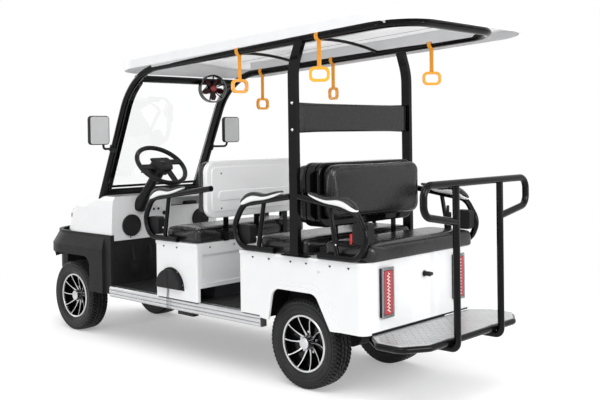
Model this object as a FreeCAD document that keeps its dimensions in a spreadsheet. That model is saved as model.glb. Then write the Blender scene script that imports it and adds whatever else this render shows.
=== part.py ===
import FreeCAD, Part
import math
import os
from types import SimpleNamespace

import Sketcher
from FreeCAD import Placement, Rotation, Vector

# Golf cart with three rows of seats, the last one facing backwards, in millimetres.
# +X is the cart's left side, -Y its front, +Z up. The floor is at zero height and the
# origin is under the middle of the cart.

SIZES = {
    # common clearances
    "seat_gap": 0.3,
    "overrun": 20,
    "shaft_gap": 0.05,
    "match_gap": 0.003,
    "moving_gap": 5,
    "panel": 4,
    # wheelbase and tyres
    "rear_axle_y": 1000,
    "wheelbase": 2334,
    "wheel_x": 360,
    "tyre_radius": 254,
    "tyre_width": 145,
    "tyre_shoulder_width": 142,
    "tyre_crown_width": 112,
    "tyre_shoulder_drop": 9,
    "tyre_wall_radius": 205,
    "tyre_bead_width": 116,
    "tyre_facet_count": 60,
    # rims
    "rim_radius": 162.5,
    "rim_wall": 9,
    "rim_lip": 62,
    "rim_inner_reach": 58,
    "rim_lip_width": 8,
    "spoke_count": 10,
    "spoke_width": 15,
    "spoke_tip_width": 8,
    "spoke_depth": 14,
    "spoke_face": 52,
    "hub_radius": 34,
    "hub_cap_radius": 30,
    "hub_cap_height": 6,
    "hub_inner_reach": 22,
    "spindle_radius": 20,
    "spindle_reach": 34,
    # knuckles and front axle
    "kingpin_x": 280,
    "kingpin_radius": 12,
    "kingpin_boss_radius": 23,
    "kingpin_boss_height": 70,
    "yoke_thickness": 13,
    "yoke_gap": 0.5,
    "yoke_half_length": 24,
    "yoke_web": 12,
    "brake_plate_radius": 92,
    "brake_plate_thickness": 8,
    "steering_arm_length": 96,
    "steering_arm_width": 20,
    "steering_arm_thickness": 12,
    "axle_beam_width": 46,
    "axle_beam_height": 40,
    # rear axle
    "axle_tube_radius": 30,
    "diff_radius": 92,
    "diff_width": 150,
    "diff_x": -60,
    "motor_radius": 88,
    "motor_length": 230,
    "drum_radius": 100,
    "drum_width": 40,
    # leaf springs
    "leaf_width": 44,
    "leaf_thickness": 7,
    "leaf_count": 3,
    "leaf_half_length": 340,
    "leaf_step": 80,
    "leaf_eye_radius": 17,
    "rear_leaf_x": 225,
    # chassis
    "frame_height": 50,
    "frame_width": 50,
    "frame_x": 225,
    "frame_front_x": 140,
    "frame_wall": 4,
    "tow_plate_length": 65,
    "tow_plate_width": 70,
    "tow_plate_thickness": 10,
    "tow_eye_radius": 12.5,
    "frame_neck_y": -790,
    "bumper_bracket_top_z": 480,
    "frame_setback": 26,
    "outrigger_width": 40,
    # side rails
    "rail_width": 50,
    "rail_bottom_z": 322,
    "rail_height": 71,
    "rail_rear_y": 740,
    "rail_groove": 3,
    "rail_groove_height": 10,
    "rail_edge_round": 9,
    # floor
    "floor_thickness": 12,
    "floor_rise": 2,
    "floor_front_y": -780,
    "bulkhead_y": -772,
    "bulkhead_thickness": 6,
    # body boxes
    "body_half_width": 504,
    "flange_height": 20,
    "flange_reach": 6,
    "seat_base_z": 755,
    "box_corner": 12,
    "front_box_front_y": -224,
    "front_box_rear_y": 187,
    "toe_space_top_z": 478,
    "toe_space_inset": 26,
    "box_panel_inset": 42,
    "box_panel_bottom_z": 502,
    "box_panel_top_z": 684,
    "box_panel_depth": 9,
    "rear_box_front_y": 582,
    "rear_box_rear_y": 1514,
    "rear_box_corner": 50,
    "rear_box_bottom_z": 380,
    # rear wheel arches
    "arch_front_reach": 185,
    "arch_tyre_gap": 42,
    "arch_top_z": 563,
    "arch_shoulder": 118,
    "arch_round": 62,
    "arch_lip_width": 46,
    "arch_lip_height": 4,
    "arch_bead_width": 25,
    "arch_bead_height": 9,
    "arch_bottom_slant": 42,
    "liner_wheel_gap": 25.5,
    "liner_tyre_gap": 30,
    "liner_thickness": 3,
    # nose
    "nose_top_z": 742,
    "nose_bottom_z": 336,
    "nose_overhang": 386,
    "nose_rear_y": -762,
    "nose_corner": 338,
    "nose_rake": 70,
    "nose_wall": 5,
    "skirt_flange": 50,
    "front_arch_front_reach": 306,
    "front_arch_rear_reach": 334,
    "front_arch_top_z": 578,
    "front_arch_round": 70,
    "front_valance_z": 520,
    "fender_ledge_z": 722,
    "fender_ledge_depth": 20,
    "fender_shoulder_z": 640,
    "fender_band": 78,
    "bumper_reach": 173,
    "bumper_bottom_z": 400,
    "bumper_height": 160,
    "bumper_inset": 264,
    "bumper_depth": 175,
    "bumper_corner": 130,
    # cowl and dashboard
    "cowl_inset": 28,
    "cowl_setback": 100,
    "pillar_foot": 24,
    "cowl_top_z": 1006,
    "dash_y": -760,
    "dash_thickness": 6,
    "dash_bottom_z": 700,
    "tray_outer_x": 330,
    "tray_inner_x": 40,
    "tray_top_z": 972,
    "tray_height": 60,
    # headlamps
    "headlamp_inset": 146,
    "headlamp_radius": 62,
    "headlamp_z": 845,
    "headlamp_setback": 150,
    "headlamp_depth": 90,
    # cushions
    "cushion_thickness": 92,
    "cushion_round": 26,
    "cushion_corner": 36,
    "cushion_inset": 13,
    "front_cushion_setback": 64,
    "front_cushion_margin": 1,
    "mid_cushion_setback": 123,
    "mid_cushion_rear_y": 1100,
    "rear_cushion_front_y": 1198,
    "rear_cushion_overhang": 36,
    "filler_half_width": 400,
    "filler_height": 46,
    # backrests
    "backrest_inset": 63,
    "backrest_bottom_z": 905,
    "backrest_top_z": 1262,
    "backrest_corner": 74,
    "pad_thickness": 76,
    "pad_round": 24,
    "pad_inset": 10,
    "shell_thickness": 44,
    "front_shell_overhang": 25,
    "shell_step": 6,
    "shell_step_inset": 38,
    "shell_ridge_inset": 88,
    "shell_ridge_bottom_z": 1012,
    "shell_ridge_height": 62,
    "mid_shell_front_y": 1012,
    "double_shell_thickness": 64,
    "shell_groove": 9,
    "shell_round": 10,
    "rear_bracket_y": 1116,
    "backrest_bracket_width": 40,
    "backrest_bracket_thickness": 6,
    "backrest_bracket_x": 265,
    # armrests
    "armrest_gap": 6,
    "armrest_tube_radius": 17.5,
    "armrest_bend": 98,
    "armrest_top_run": 82,
    "armrest_top_z": 1024,
    "armrest_nose_z": 893,
    "armrest_low_run": 55,
    "armrest_bar_run": 335,
    "front_armrest_y": -318,
    "front_armrest_end_y": 345,
    "front_armrest_end_z": 1103,
    "mid_armrest_y": 545,
    "mid_armrest_end_z": 1082,
    "rear_armrest_y": 1550,
    "strut_top_run": 255,
    "strut_top_z": 1050,
    "strut_foot_run": 205,
    "strut_radius": 13,
    "armrest_pad_radius": 26,
    "pad_back_run": 385,
    "pad_back_z": 1086,
    "pad_middle_run": 190,
    "pad_middle_z": 1075,
    "pad_front_run": 50,
    "pad_front_z": 1030,
    "pad_bend": 300,
    # belt units
    "belt_unit_width": 52,
    "belt_unit_length": 104,
    "belt_unit_height": 112,
    "belt_unit_start": 12,
    "belt_unit_low_z": 790,
    "rear_belt_unit_low_z": 849,
    "belt_unit_round": 20,
    # canopy frame
    "pillar_inset": 46,
    "knee_flare": 6,
    "roof_tube_flare": 20,
    "roof_tube_radius": 24,
    "pillar_base_y": -1050,
    "pillar_base_z": 740,
    "pillar_knee_y": -540,
    "pillar_knee_z": 1860,
    "pillar_bend": 450,
    "roof_rear_y": 1752,
    "roof_rear_z": 1981,
    "roof_rear_bend": 190,
    "bow_front_y": 200,
    "bow_rear_y": 870,
    "bow_rise": 52,
    "bow_radius": 10,
    "high_bar_y": -500,
    "high_bar_z": 1812,
    # windscreen
    "low_bar_z": 1072,
    "low_bar_radius": 10,
    "jamb_width": 30,
    "jamb_depth": 30,
    "jamb_lap": 2,
    "windscreen_thickness": 5,
    # rear pillars
    "rear_pillar_offset": 8,
    "rear_pillar_y": 1040,
    "rear_pillar_depth": 60,
    "rear_pillar_width": 28,
    "rear_pillar_knee_z": 1790,
    "rear_pillar_bend": 300,
    "rear_pillar_plate_length": 190,
    "rear_pillar_plate_thickness": 6,
    "head_panel_bottom_z": 1423,
    "head_panel_top_z": 1602,
    "head_panel_thickness": 30,
    "head_panel_round": 12,
    # roof
    "roof_overhang": 172,
    "roof_front_y": -545,
    "roof_end_y": 1890,
    "roof_corner": 250,
    "roof_skirt": 66,
    "roof_crown": 52,
    "roof_sheet": 5,
    "roof_drop": 14,
    "roof_edge_round": 22,
    "roof_seat_width": 40,
    "roof_rib_width": 34,
    "roof_rib_depth": 6,
    "roof_rib_pitch": 180,
    # steering
    "steering_inset": 200,
    "steering_wheel_y": -512,
    "steering_wheel_z": 1222,
    "steering_angle": 48,
    "steering_wheel_radius": 178,
    "steering_grip_radius": 16,
    "steering_hub_radius": 46,
    "steering_hub_depth": 38,
    "steering_spoke_width": 40,
    "steering_spoke_thickness": 14,
    "wheel_pad_top_width": 150,
    "wheel_pad_bottom_width": 96,
    "wheel_pad_rise": 50,
    "wheel_pad_fall": 64,
    "wheel_pad_corner": 24,
    "column_radius": 33,
    "column_collar_radius": 45,
    "column_collar_length": 70,
    "column_boot_start": 270,
    "column_boot_length": 130,
    "column_boot_radius": 54,
    "column_shaft_radius": 11,
    "column_length": 700,
    "column_shaft_seat": 22,
    # fan
    "fan_inset": 258,
    "fan_y": -430,
    "fan_z": 1757,
    "fan_turn": 20,
    "fan_ring_radius": 100,
    "fan_ring_wall": 7,
    "fan_depth": 46,
    "fan_spoke_count": 6,
    "fan_spoke_width": 8,
    "fan_stem_radius": 12,
    "fan_blade_count": 5,
    "fan_blade_reach": 82,
    "fan_blade_root_width": 22,
    "fan_blade_width": 46,
    "fan_blade_pitch": 28,
    "fan_blade_thickness": 3,
    "fan_hub_radius": 22,
    "fan_shaft_radius": 4,
    "fan_motor_radius": 34,
    "fan_motor_depth": 52,
    # mirrors
    "mirror_offset": 165,
    "mirror_y": -703,
    "mirror_z": 1467,
    "mirror_width": 154,
    "mirror_height": 196,
    "mirror_depth": 34,
    "mirror_corner": 24,
    "mirror_arm_radius": 8,
    "mirror_arm_z": 1340,
    "mirror_arm_bend": 24,
    "mirror_clamp_wall": 8,
    "mirror_clamp_height": 36,
    # platform
    "plate_z": 374,
    "plate_thickness": 4,
    "plate_gap": 6,
    "plate_length": 324,
    "plate_flare_run": 100,
    "plate_taper_run": 240,
    "plate_overhang": 28,
    "plate_front_inset": 82,
    "plate_rear_inset": 132,
    "platform_tube_radius": 17,
    "platform_bend": 55,
    "platform_arm_x": 225,
    "platform_arm_width": 40,
    # grab rail
    "grab_upright_x": 211,
    "grab_upright_radius": 18.5,
    "grab_tube_radius": 19,
    "grab_top_z": 1163,
    "grab_loop_inset": 42,
    "grab_loop_z": 1012,
    "grab_foot_length": 144,
    "grab_join_z": 966,
    "grab_bend": 62,
    # tail lamps and lock
    "tail_lamp_inset": 169,
    "tail_lamp_half_width": 41,
    "tail_lamp_bottom_z": 467,
    "tail_lamp_top_z": 711,
    "tail_lamp_depth": 26,
    "tail_lamp_round": 14,
    "tail_lamp_bezel": 8,
    "tail_lamp_base": 15,
    "lock_x": -18,
    "lock_z": 643,
    "lock_radius": 13,
    "lock_reach": 30,
    # speakers and charging cover
    "speaker_radius": 76,
    "speaker_inset": 164,
    "speaker_z": 800,
    "speaker_depth": 12,
    "cover_y": -68,
    "cover_radius": 118,
    "cover_bottom_z": 462,
    "cover_depth": 34,
    # hanging grips
    "strap_width": 26,
    "strap_thickness": 3,
    "strap_drop": 174,
    "front_strap_drop": 200,
    "middle_strap_drop": 190,
    "grip_half_width": 56,
    "grip_half_height": 41,
    "grip_wire": 8,
    "grip_round": 30,
    "grip_hole_round": 18,
    "left_grip_front_y": 533,
    "left_grip_rear_y": 1173,
    "right_grip_front_y": -190,
    "right_grip_mid_y": 487,
    "right_grip_rear_y": 1280,
    "left_grip_front_turn": 80,
    "grip_face_turn": 43,
    "right_grip_front_turn": 90,
    "right_grip_mid_turn": -18,
    # battery and pedals
    "battery_half_width": 330,
    "battery_length": 330,
    "battery_height": 260,
    "pedal_width": 70,
    "pedal_height": 90,
    "pedal_thickness": 8,
    "brake_x": 150,
    "throttle_x": 300,
    "pedal_y": -735,
    "pedal_z": 470,
}

doc = FreeCAD.newDocument("GolfCart")
sheet = doc.addObject("Spreadsheet::Sheet", "Dims")


def fill_sheet():
    """Every driving size is one cell with an alias."""
    for row, (alias, number) in enumerate(SIZES.items(), start=1):
        sheet.set("A%d" % row, alias)
        sheet.set("B%d" % row, str(number))
        sheet.setAlias("B%d" % row, alias)
    doc.recompute()


fill_sheet()
size = SimpleNamespace(**{alias: float(sheet.get(alias)) for alias in SIZES})

FULL_TURN = 360
HALF_TURN = 180
RIGHT_ANGLE = 90
CM3 = 1000
LEFT, RIGHT = 1, -1
X_WAY, Y_WAY, Z_WAY = Vector(1, 0, 0), Vector(0, 1, 0), Vector(0, 0, 1)

front_axle_y = size.rear_axle_y - size.wheelbase
axle_z = size.tyre_radius
rail_outer_x = size.body_half_width - size.panel
rail_top_z = size.rail_bottom_z + size.rail_height
rail_front_y = size.nose_rear_y + size.seat_gap
floor_top_z = rail_top_z + size.floor_rise
frame_top_z = floor_top_z - size.floor_thickness
frame_bottom_z = frame_top_z - size.frame_height
cowl_bar_z = size.cowl_top_z + size.roof_tube_radius + 2 * size.seat_gap
nose_front_y = front_axle_y - size.nose_overhang
frame_front_end_y = nose_front_y + size.nose_wall + size.seat_gap
frame_rear_end_y = size.rear_box_rear_y - size.frame_setback
front_arch_front_y = front_axle_y - size.front_arch_front_reach
front_arch_rear_y = front_axle_y + size.front_arch_rear_reach
bumper_front_y = nose_front_y - size.bumper_reach
cowl_front_y = nose_front_y + size.cowl_setback
cowl_half_width = size.body_half_width - size.cowl_inset
headlamp_x = cowl_half_width - size.headlamp_inset
arch_front_y = size.rear_axle_y - size.arch_front_reach
arch_rear_y = size.rear_axle_y + size.tyre_radius + size.arch_tyre_gap
liner_front_y = size.rear_axle_y - size.tyre_radius - size.liner_tyre_gap
flange_bottom_z = size.seat_base_z - size.flange_height
cushion_bottom_z = size.seat_base_z + size.seat_gap
cushion_half_width = size.body_half_width - size.cushion_inset
backrest_half_width = cushion_half_width - size.backrest_inset
front_shell_rear_y = size.front_box_rear_y + size.front_shell_overhang
armrest_x = cushion_half_width + size.armrest_gap + size.armrest_tube_radius
rear_pillar_x = size.body_half_width + size.rear_pillar_offset
pillar_x = cowl_half_width - size.pillar_inset
knee_x = pillar_x + size.knee_flare
roof_tube_x = pillar_x + size.roof_tube_flare
roof_half_width = roof_tube_x + size.roof_overhang
plate_front_y = size.rear_box_rear_y + size.plate_gap
plate_rear_y = plate_front_y + size.plate_length
plate_half_width = size.body_half_width + size.plate_overhang
roof_slope = math.atan2(size.roof_rear_z - size.pillar_knee_z, size.roof_rear_y - size.pillar_knee_y)
roof_slope_degrees = math.degrees(roof_slope)


def roof_tube_z(y):
    """Height of the roof tubes' centre line at a place along the cart."""
    return size.pillar_knee_z + (y - size.pillar_knee_y) * math.tan(roof_slope)


def value(expression):
    """Number that an expression of the sheet gives now."""
    result = sheet.evalExpression(expression)
    return float(getattr(result, "Value", result))


def bound(kind, name, place=("0", "0", "0"), turn=None, **sizes):
    """Primitive whose sizes and place are bound to the sheet."""
    piece = doc.addObject(kind, name)
    if turn:
        piece.Placement = Placement(Vector(), Rotation(*turn))
    for field, expression in sizes.items():
        piece.setExpression(field, expression)
    for axis, expression in zip("xyz", place):
        piece.setExpression("Placement.Base." + axis, expression)
    return piece


def origin_feature(body, role):
    """Plane or axis of the body's own origin."""
    return next(item for item in body.Origin.OriginFeatures if item.Role == role)


def outline(body, role, corners, offset="0"):
    """Closed sketch on a plane of the body, each corner bound to the sheet."""
    drawing = body.newObject("Sketcher::SketchObject", body.Name + "_outline")
    drawing.AttachmentSupport = (origin_feature(body, role), [""])
    drawing.MapMode = "FlatFace"
    drawing.setExpression("AttachmentOffset.Base.z", offset)
    points = [Vector(value(across), value(up), 0) for across, up in corners]
    for index, point in enumerate(points):
        drawing.addGeometry(Part.LineSegment(point, points[(index + 1) % len(points)]))
    for index in range(len(points)):
        following = (index + 1) % len(points)
        drawing.addConstraint(Sketcher.Constraint("Coincident", index, 2, following, 1))
    for index, (across, up) in enumerate(corners):
        for kind, number, text in (
            ("DistanceX", points[index].x, across),
            ("DistanceY", points[index].y, up),
        ):
            added = drawing.addConstraint(Sketcher.Constraint(kind, -1, 1, index, 1, number))
            drawing.setExpression("Constraints[%d]" % added, text)
    return drawing


def padded_body(label, role, corners, length, offset="0"):
    """Body with one pad of a bound outline."""
    body = doc.addObject("PartDesign::Body", label)
    drawing = outline(body, role, corners, offset)
    pad = body.newObject("PartDesign::Pad", label + "_pad")
    pad.Profile = drawing
    pad.setExpression("Length", length)
    return body


def add_pad(body, role, corners, length, offset="0"):
    """One more pad on a body."""
    drawing = outline(body, role, corners, offset)
    pad = body.newObject("PartDesign::Pad", body.Name + "_pad")
    pad.Profile = drawing
    pad.setExpression("Length", length)
    return pad


def add_revolution(body, role, axis, corners):
    """Solid of revolution of a bound outline about an axis of its sketch."""
    drawing = outline(body, role, corners)
    turned = body.newObject("PartDesign::Revolution", body.Name + "_turned")
    turned.Profile = drawing
    turned.ReferenceAxis = (drawing, [axis])
    turned.Angle = FULL_TURN
    return turned


def add_polar_pattern(body, feature, axis_role, count):
    """Even copies of a feature about an axis of the body's origin."""
    pattern = body.newObject("PartDesign::PolarPattern", body.Name + "_pattern")
    pattern.Originals = [feature]
    pattern.Axis = (origin_feature(body, axis_role), [""])
    pattern.Angle = FULL_TURN
    pattern.setExpression("Occurrences", count)
    body.Tip = pattern
    return pattern


def sub_part(label, shape):
    """Sub-part whose shape is made with the functions below."""
    piece = doc.addObject("Part::Feature", label)
    piece.Shape = shape
    return piece


def block(x_low, x_high, y_low, y_high, z_low, z_high):
    """Plain block between six planes."""
    corner = Vector(x_low, y_low, z_low)
    return Part.makeBox(x_high - x_low, y_high - y_low, z_high - z_low, corner)


def rod(radius, start, end):
    """Round bar between two points."""
    return Part.makeCylinder(radius, (end - start).Length, start, end - start)


def prism(points, way):
    """Straight-sided solid: an outline pushed along a vector."""
    return Part.Face(Part.makePolygon(list(points) + [points[0]])).extrude(way)


def fused(*shapes):
    """One solid out of several that meet."""
    return shapes[0].multiFuse(list(shapes[1:])).removeSplitter()


def other_side(shape):
    """The same piece on the other side of the cart."""
    return shape.mirror(Vector(), X_WAY)


def both_sides(shape):
    """A piece and its mirror image, as solids of one node."""
    return Part.makeCompound([shape, other_side(shape)])


def edges_along(shape, way):
    """Straight edges that run along a direction."""
    found = []
    for edge in shape.Edges:
        if edge.Curve.TypeId != "Part::GeomLine":
            continue
        run = edge.Vertexes[-1].Point - edge.Vertexes[0].Point
        if run.Length and run.cross(way).Length < size.match_gap:
            found.append(edge)
    return found


def edges_at(shape, axis, place):
    """Edges that lie wholly in the plane where a coordinate has one value."""
    found = []
    for edge in shape.Edges:
        bounds = edge.BoundBox
        low, high = getattr(bounds, axis + "Min"), getattr(bounds, axis + "Max")
        if max(abs(low - place), abs(high - place)) < size.match_gap:
            found.append(edge)
    return found


def bent_wire(points, bends):
    """Straight runs joined by tangent arcs, of one radius or one for each corner."""
    if not isinstance(bends, list):
        bends = [bends] * (len(points) - 2)
    edges = []
    start = points[0]
    for before, corner, after, bend in zip(points, points[1:], points[2:], bends):
        into = (before - corner).normalize()
        out = (after - corner).normalize()
        half = into.getAngle(out) / 2
        reach = bend / math.tan(half)
        middle = corner + (into + out).normalize() * (bend / math.sin(half) - bend)
        first, last = corner + into * reach, corner + out * reach
        if (first - start).Length > size.seat_gap:
            edges.append(Part.LineSegment(start, first).toShape())
        edges.append(Part.Arc(first, middle, last).toShape())
        start = last
    edges.append(Part.LineSegment(start, points[-1]).toShape())
    return Part.Wire(edges)


def swept(path, section):
    """Solid swept by a closed section along a path."""
    pipe = Part.BRepOffsetAPI.MakePipeShell(path)
    pipe.setFrenetMode(False)
    pipe.add(section)
    pipe.build()
    pipe.makeSolid()
    return pipe.shape()


def tube(points, bend, radius):
    """Round bar bent at each inner point."""
    path = bent_wire(points, bend) if len(points) > 2 else None
    if path is None:
        return rod(radius, points[0], points[1])
    way = points[1] - points[0]
    section = Part.Wire([Part.Circle(points[0], way, radius).toShape()])
    return swept(path, section)


def rounded_slab(x_low, x_high, y_low, y_high, z_low, z_high, way, corner, edge):
    """Soft block: corners rounded along one direction, then its outer rim."""
    shape = block(x_low, x_high, y_low, y_high, z_low, z_high)
    shape = shape.makeFillet(corner, edges_along(shape, way))
    axis = {0: "X", 1: "Y", 2: "Z"}[[abs(part) > 0 for part in way].index(True)]
    rim = edges_at(shape, axis, {"X": x_high, "Y": y_high, "Z": z_high}[axis])
    if way.dot(X_WAY + Y_WAY + Z_WAY) < 0:
        rim = edges_at(shape, axis, {"X": x_low, "Y": y_low, "Z": z_low}[axis])
    return shape.makeFillet(edge, rim)


# Wheels

def wheel_place(body, side, axle):
    """Puts a rim at its hub centre, its face outwards."""
    turn = 0 if side == LEFT else HALF_TURN
    body.Placement = Placement(Vector(), Rotation(Z_WAY, turn))
    body.setExpression("Placement.Base.x", "%d * Dims.wheel_x" % side)
    axle_place = {"front": "Dims.rear_axle_y - Dims.wheelbase", "rear": "Dims.rear_axle_y"}
    body.setExpression("Placement.Base.y", axle_place[axle])
    body.setExpression("Placement.Base.z", "Dims.tyre_radius")


def facet_ring(profile, count):
    """Ring round the X axis in flat facets, from an outline of (along, outwards) pairs."""
    rows = []
    for index in range(count):
        turn = math.radians(index * FULL_TURN / count)
        rows.append([Vector(along, out * math.sin(turn), out * math.cos(turn)) for along, out in profile])
    faces = []
    for row, after in zip(rows, rows[1:] + rows[:1]):
        corners = zip(row, row[1:] + row[:1], after[1:] + after[:1], after)
        for start, end, far_end, far_start in corners:
            faces.append(Part.Face(Part.makePolygon([start, end, far_end, far_start, start])))
    ring = Part.makeSolid(Part.makeShell(faces))
    if ring.Volume < 0:
        ring.reverse()
    return ring


def tyre_profile():
    """Section of a tyre from bead to bead: bulging walls, shoulders and a flat crown."""
    s = size
    half, crown = s.tyre_width / 2, s.tyre_crown_width / 2
    bore = s.rim_radius + s.seat_gap
    left = [
        (s.tyre_bead_width / 2, bore),
        (half, (bore + s.tyre_wall_radius) / 2),
        (half, s.tyre_wall_radius),
        (s.tyre_shoulder_width / 2, s.tyre_radius - s.tyre_shoulder_drop),
        (crown, s.tyre_radius),
    ]
    return left + [(-across, out) for across, out in reversed(left)]


def make_tyre(label, side, axle):
    """Plain tyre standing on the floor."""
    ring = facet_ring(tyre_profile(), int(size.tyre_facet_count))
    axle_y = {"front": front_axle_y, "rear": size.rear_axle_y}
    ring.translate(Vector(side * size.wheel_x, axle_y[axle], axle_z))
    return sub_part(label, ring)


def make_rim(label, side, axle):
    """Rim: barrel with a lip, hub bored for the spindle, and a ring of slender spokes."""
    body = doc.addObject("PartDesign::Body", label)
    barrel_in = "Dims.rim_radius - Dims.rim_wall"
    add_revolution(body, "XZ_Plane", "H_Axis", [
        ("-Dims.rim_inner_reach", barrel_in),
        ("-Dims.rim_inner_reach", "Dims.rim_radius"),
        ("Dims.rim_lip - Dims.rim_lip_width / 2", "Dims.rim_radius"),
        ("Dims.rim_lip", "Dims.rim_radius - Dims.rim_lip_width / 2"),
        ("Dims.rim_lip", "Dims.rim_radius - Dims.rim_wall"),
        ("Dims.spoke_face", "Dims.rim_radius - 2 * Dims.rim_wall"),
        ("Dims.spoke_face - Dims.spoke_depth", "Dims.rim_radius - 2 * Dims.rim_wall"),
        ("Dims.spoke_face - 2 * Dims.spoke_depth", barrel_in),
    ])
    spoke = add_pad(body, "YZ_Plane", [
        ("-Dims.spoke_width / 2", "Dims.spindle_radius + Dims.rim_wall"),
        ("Dims.spoke_width / 2", "Dims.spindle_radius + Dims.rim_wall"),
        ("Dims.spoke_tip_width / 2", "Dims.rim_radius - 1.5 * Dims.rim_wall"),
        ("-Dims.spoke_tip_width / 2", "Dims.rim_radius - 1.5 * Dims.rim_wall"),
    ], "Dims.spoke_depth", "Dims.spoke_face - Dims.spoke_depth")
    add_polar_pattern(body, spoke, "X_Axis", "Dims.spoke_count")
    bore = "Dims.spindle_radius + Dims.shaft_gap"
    hub = add_revolution(body, "XZ_Plane", "H_Axis", [
        ("-Dims.hub_inner_reach", bore),
        ("-Dims.hub_inner_reach", "Dims.hub_radius"),
        ("Dims.spoke_face", "Dims.hub_radius"),
        ("Dims.spoke_face + Dims.hub_cap_height", "Dims.hub_cap_radius"),
        ("Dims.spoke_face + Dims.hub_cap_height", "0"),
        ("Dims.spindle_reach + Dims.yoke_gap", "0"),
        ("Dims.spindle_reach + Dims.yoke_gap", bore),
    ])
    body.Tip = hub
    wheel_place(body, side, axle)
    return body


def make_wheels():
    """Four tyres and four rims."""
    for axle in ("front", "rear"):
        for side, word in ((LEFT, "left"), (RIGHT, "right")):
            make_tyre("%s_%s_tyre" % (axle, word), side, axle)
            make_rim("%s_%s_rim" % (axle, word), side, axle)


# Running gear

def knuckle_shape():
    """Left knuckle: yoke round the axle boss, kingpin, spindle, brake plate and arm."""
    s = size
    pin_x, y, z = s.kingpin_x, front_axle_y, axle_z
    half = s.kingpin_boss_height / 2 + s.yoke_gap
    top = half + s.yoke_thickness
    web_in = pin_x + s.kingpin_boss_radius + s.yoke_gap
    web_out = web_in + s.yoke_web
    long = s.yoke_half_length
    upper = block(pin_x - long, web_out, y - long, y + long, z + half, z + top)
    lower = block(pin_x - long, web_out, y - long, y + long, z - top, z - half)
    web = block(web_in, web_out, y - long, y + long, z - top, z + top)
    pin = rod(s.kingpin_radius, Vector(pin_x, y, z - top), Vector(pin_x, y, z + top))
    plate_end = web_out + s.brake_plate_thickness
    plate = rod(s.brake_plate_radius, Vector(web_out, y, z), Vector(plate_end, y, z))
    spindle_end = Vector(s.wheel_x + s.spindle_reach, y, z)
    spindle = rod(s.spindle_radius, Vector(web_in, y, z), spindle_end)
    arm = block(
        pin_x - s.steering_arm_width / 2, pin_x + s.steering_arm_width / 2,
        y, y + s.steering_arm_length,
        z - top, z - top + s.steering_arm_thickness,
    )
    return fused(upper, lower, web, pin, plate, spindle, arm)


def make_knuckles():
    """Steering knuckles of the two front wheels."""
    sub_part("left_knuckle", knuckle_shape())
    sub_part("right_knuckle", other_side(knuckle_shape()))


def make_front_axle():
    """Straight beam with a bored boss for each kingpin."""
    s = size
    y, z = front_axle_y, axle_z
    reach = s.kingpin_x
    beam = block(
        -reach, reach,
        y - s.axle_beam_width / 2, y + s.axle_beam_width / 2,
        z - s.axle_beam_height / 2, z + s.axle_beam_height / 2,
    )
    solid = beam
    half = s.kingpin_boss_height / 2
    for side in (LEFT, RIGHT):
        low, high = Vector(side * reach, y, z - half), Vector(side * reach, y, z + half)
        solid = fused(solid, rod(s.kingpin_boss_radius, low, high))
    for side in (LEFT, RIGHT):
        low = Vector(side * reach, y, z - half - s.overrun)
        high = Vector(side * reach, y, z + half + s.overrun)
        solid = solid.cut(rod(s.kingpin_radius + s.shaft_gap, low, high))
    sub_part("front_axle", solid)


def make_rear_axle():
    """Axle tube with differential, drive motor, brake drums and wheel spindles."""
    s = size
    y, z = s.rear_axle_y, axle_z
    hub_inner_x = s.wheel_x - s.hub_inner_reach - s.yoke_gap
    drum_inner_x = hub_inner_x - s.drum_width
    pieces = [rod(s.axle_tube_radius, Vector(-drum_inner_x, y, z), Vector(drum_inner_x, y, z))]
    half = s.diff_width / 2
    pieces.append(rod(s.diff_radius, Vector(s.diff_x - half, y, z), Vector(s.diff_x + half, y, z)))
    motor_y = y - s.diff_radius - s.motor_radius / 2
    motor_start = Vector(s.diff_x - half, motor_y, z)
    motor_end = Vector(s.diff_x - half + s.motor_length, motor_y, z)
    pieces.append(rod(s.motor_radius, motor_start, motor_end))
    for side in (LEFT, RIGHT):
        inner = Vector(side * drum_inner_x, y, z)
        pieces.append(rod(s.drum_radius, inner, Vector(side * hub_inner_x, y, z)))
        tip = Vector(side * (s.wheel_x + s.spindle_reach), y, z)
        pieces.append(rod(s.spindle_radius, inner, tip))
    sub_part("rear_axle", fused(*pieces))


def leaf_spring(x, y, clamp_z, hang_z):
    """Pack of leaves clamped at its middle, the main leaf ending in two eyes."""
    s = size
    leaves = []
    for index in range(int(s.leaf_count)):
        half = s.leaf_half_length - index * s.leaf_step
        drop = s.leaf_thickness * index
        rise = (hang_z - clamp_z) * (half / s.leaf_half_length) ** 2
        low, high = clamp_z - drop - s.leaf_thickness, clamp_z - drop
        bottom = Part.Arc(
            Vector(x, y - half, low + rise), Vector(x, y, low), Vector(x, y + half, low + rise)
        ).toShape()
        upper = Part.Arc(
            Vector(x, y + half, high + rise), Vector(x, y, high), Vector(x, y - half, high + rise)
        ).toShape()
        ends = [
            Part.makeLine(Vector(x, y + half, low + rise), Vector(x, y + half, high + rise)),
            Part.makeLine(Vector(x, y - half, high + rise), Vector(x, y - half, low + rise)),
        ]
        wire = Part.Wire([bottom, ends[0], upper, ends[1]])
        face = Part.Face(wire)
        face.translate(Vector(-s.leaf_width / 2, 0, 0))
        leaves.append(face.extrude(Vector(s.leaf_width, 0, 0)))
    for way in (LEFT, RIGHT):
        eye = Vector(x - s.leaf_width / 2, y + way * s.leaf_half_length, hang_z)
        leaves.append(rod(s.leaf_eye_radius, eye, eye + X_WAY * s.leaf_width))
    return fused(*leaves)


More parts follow.
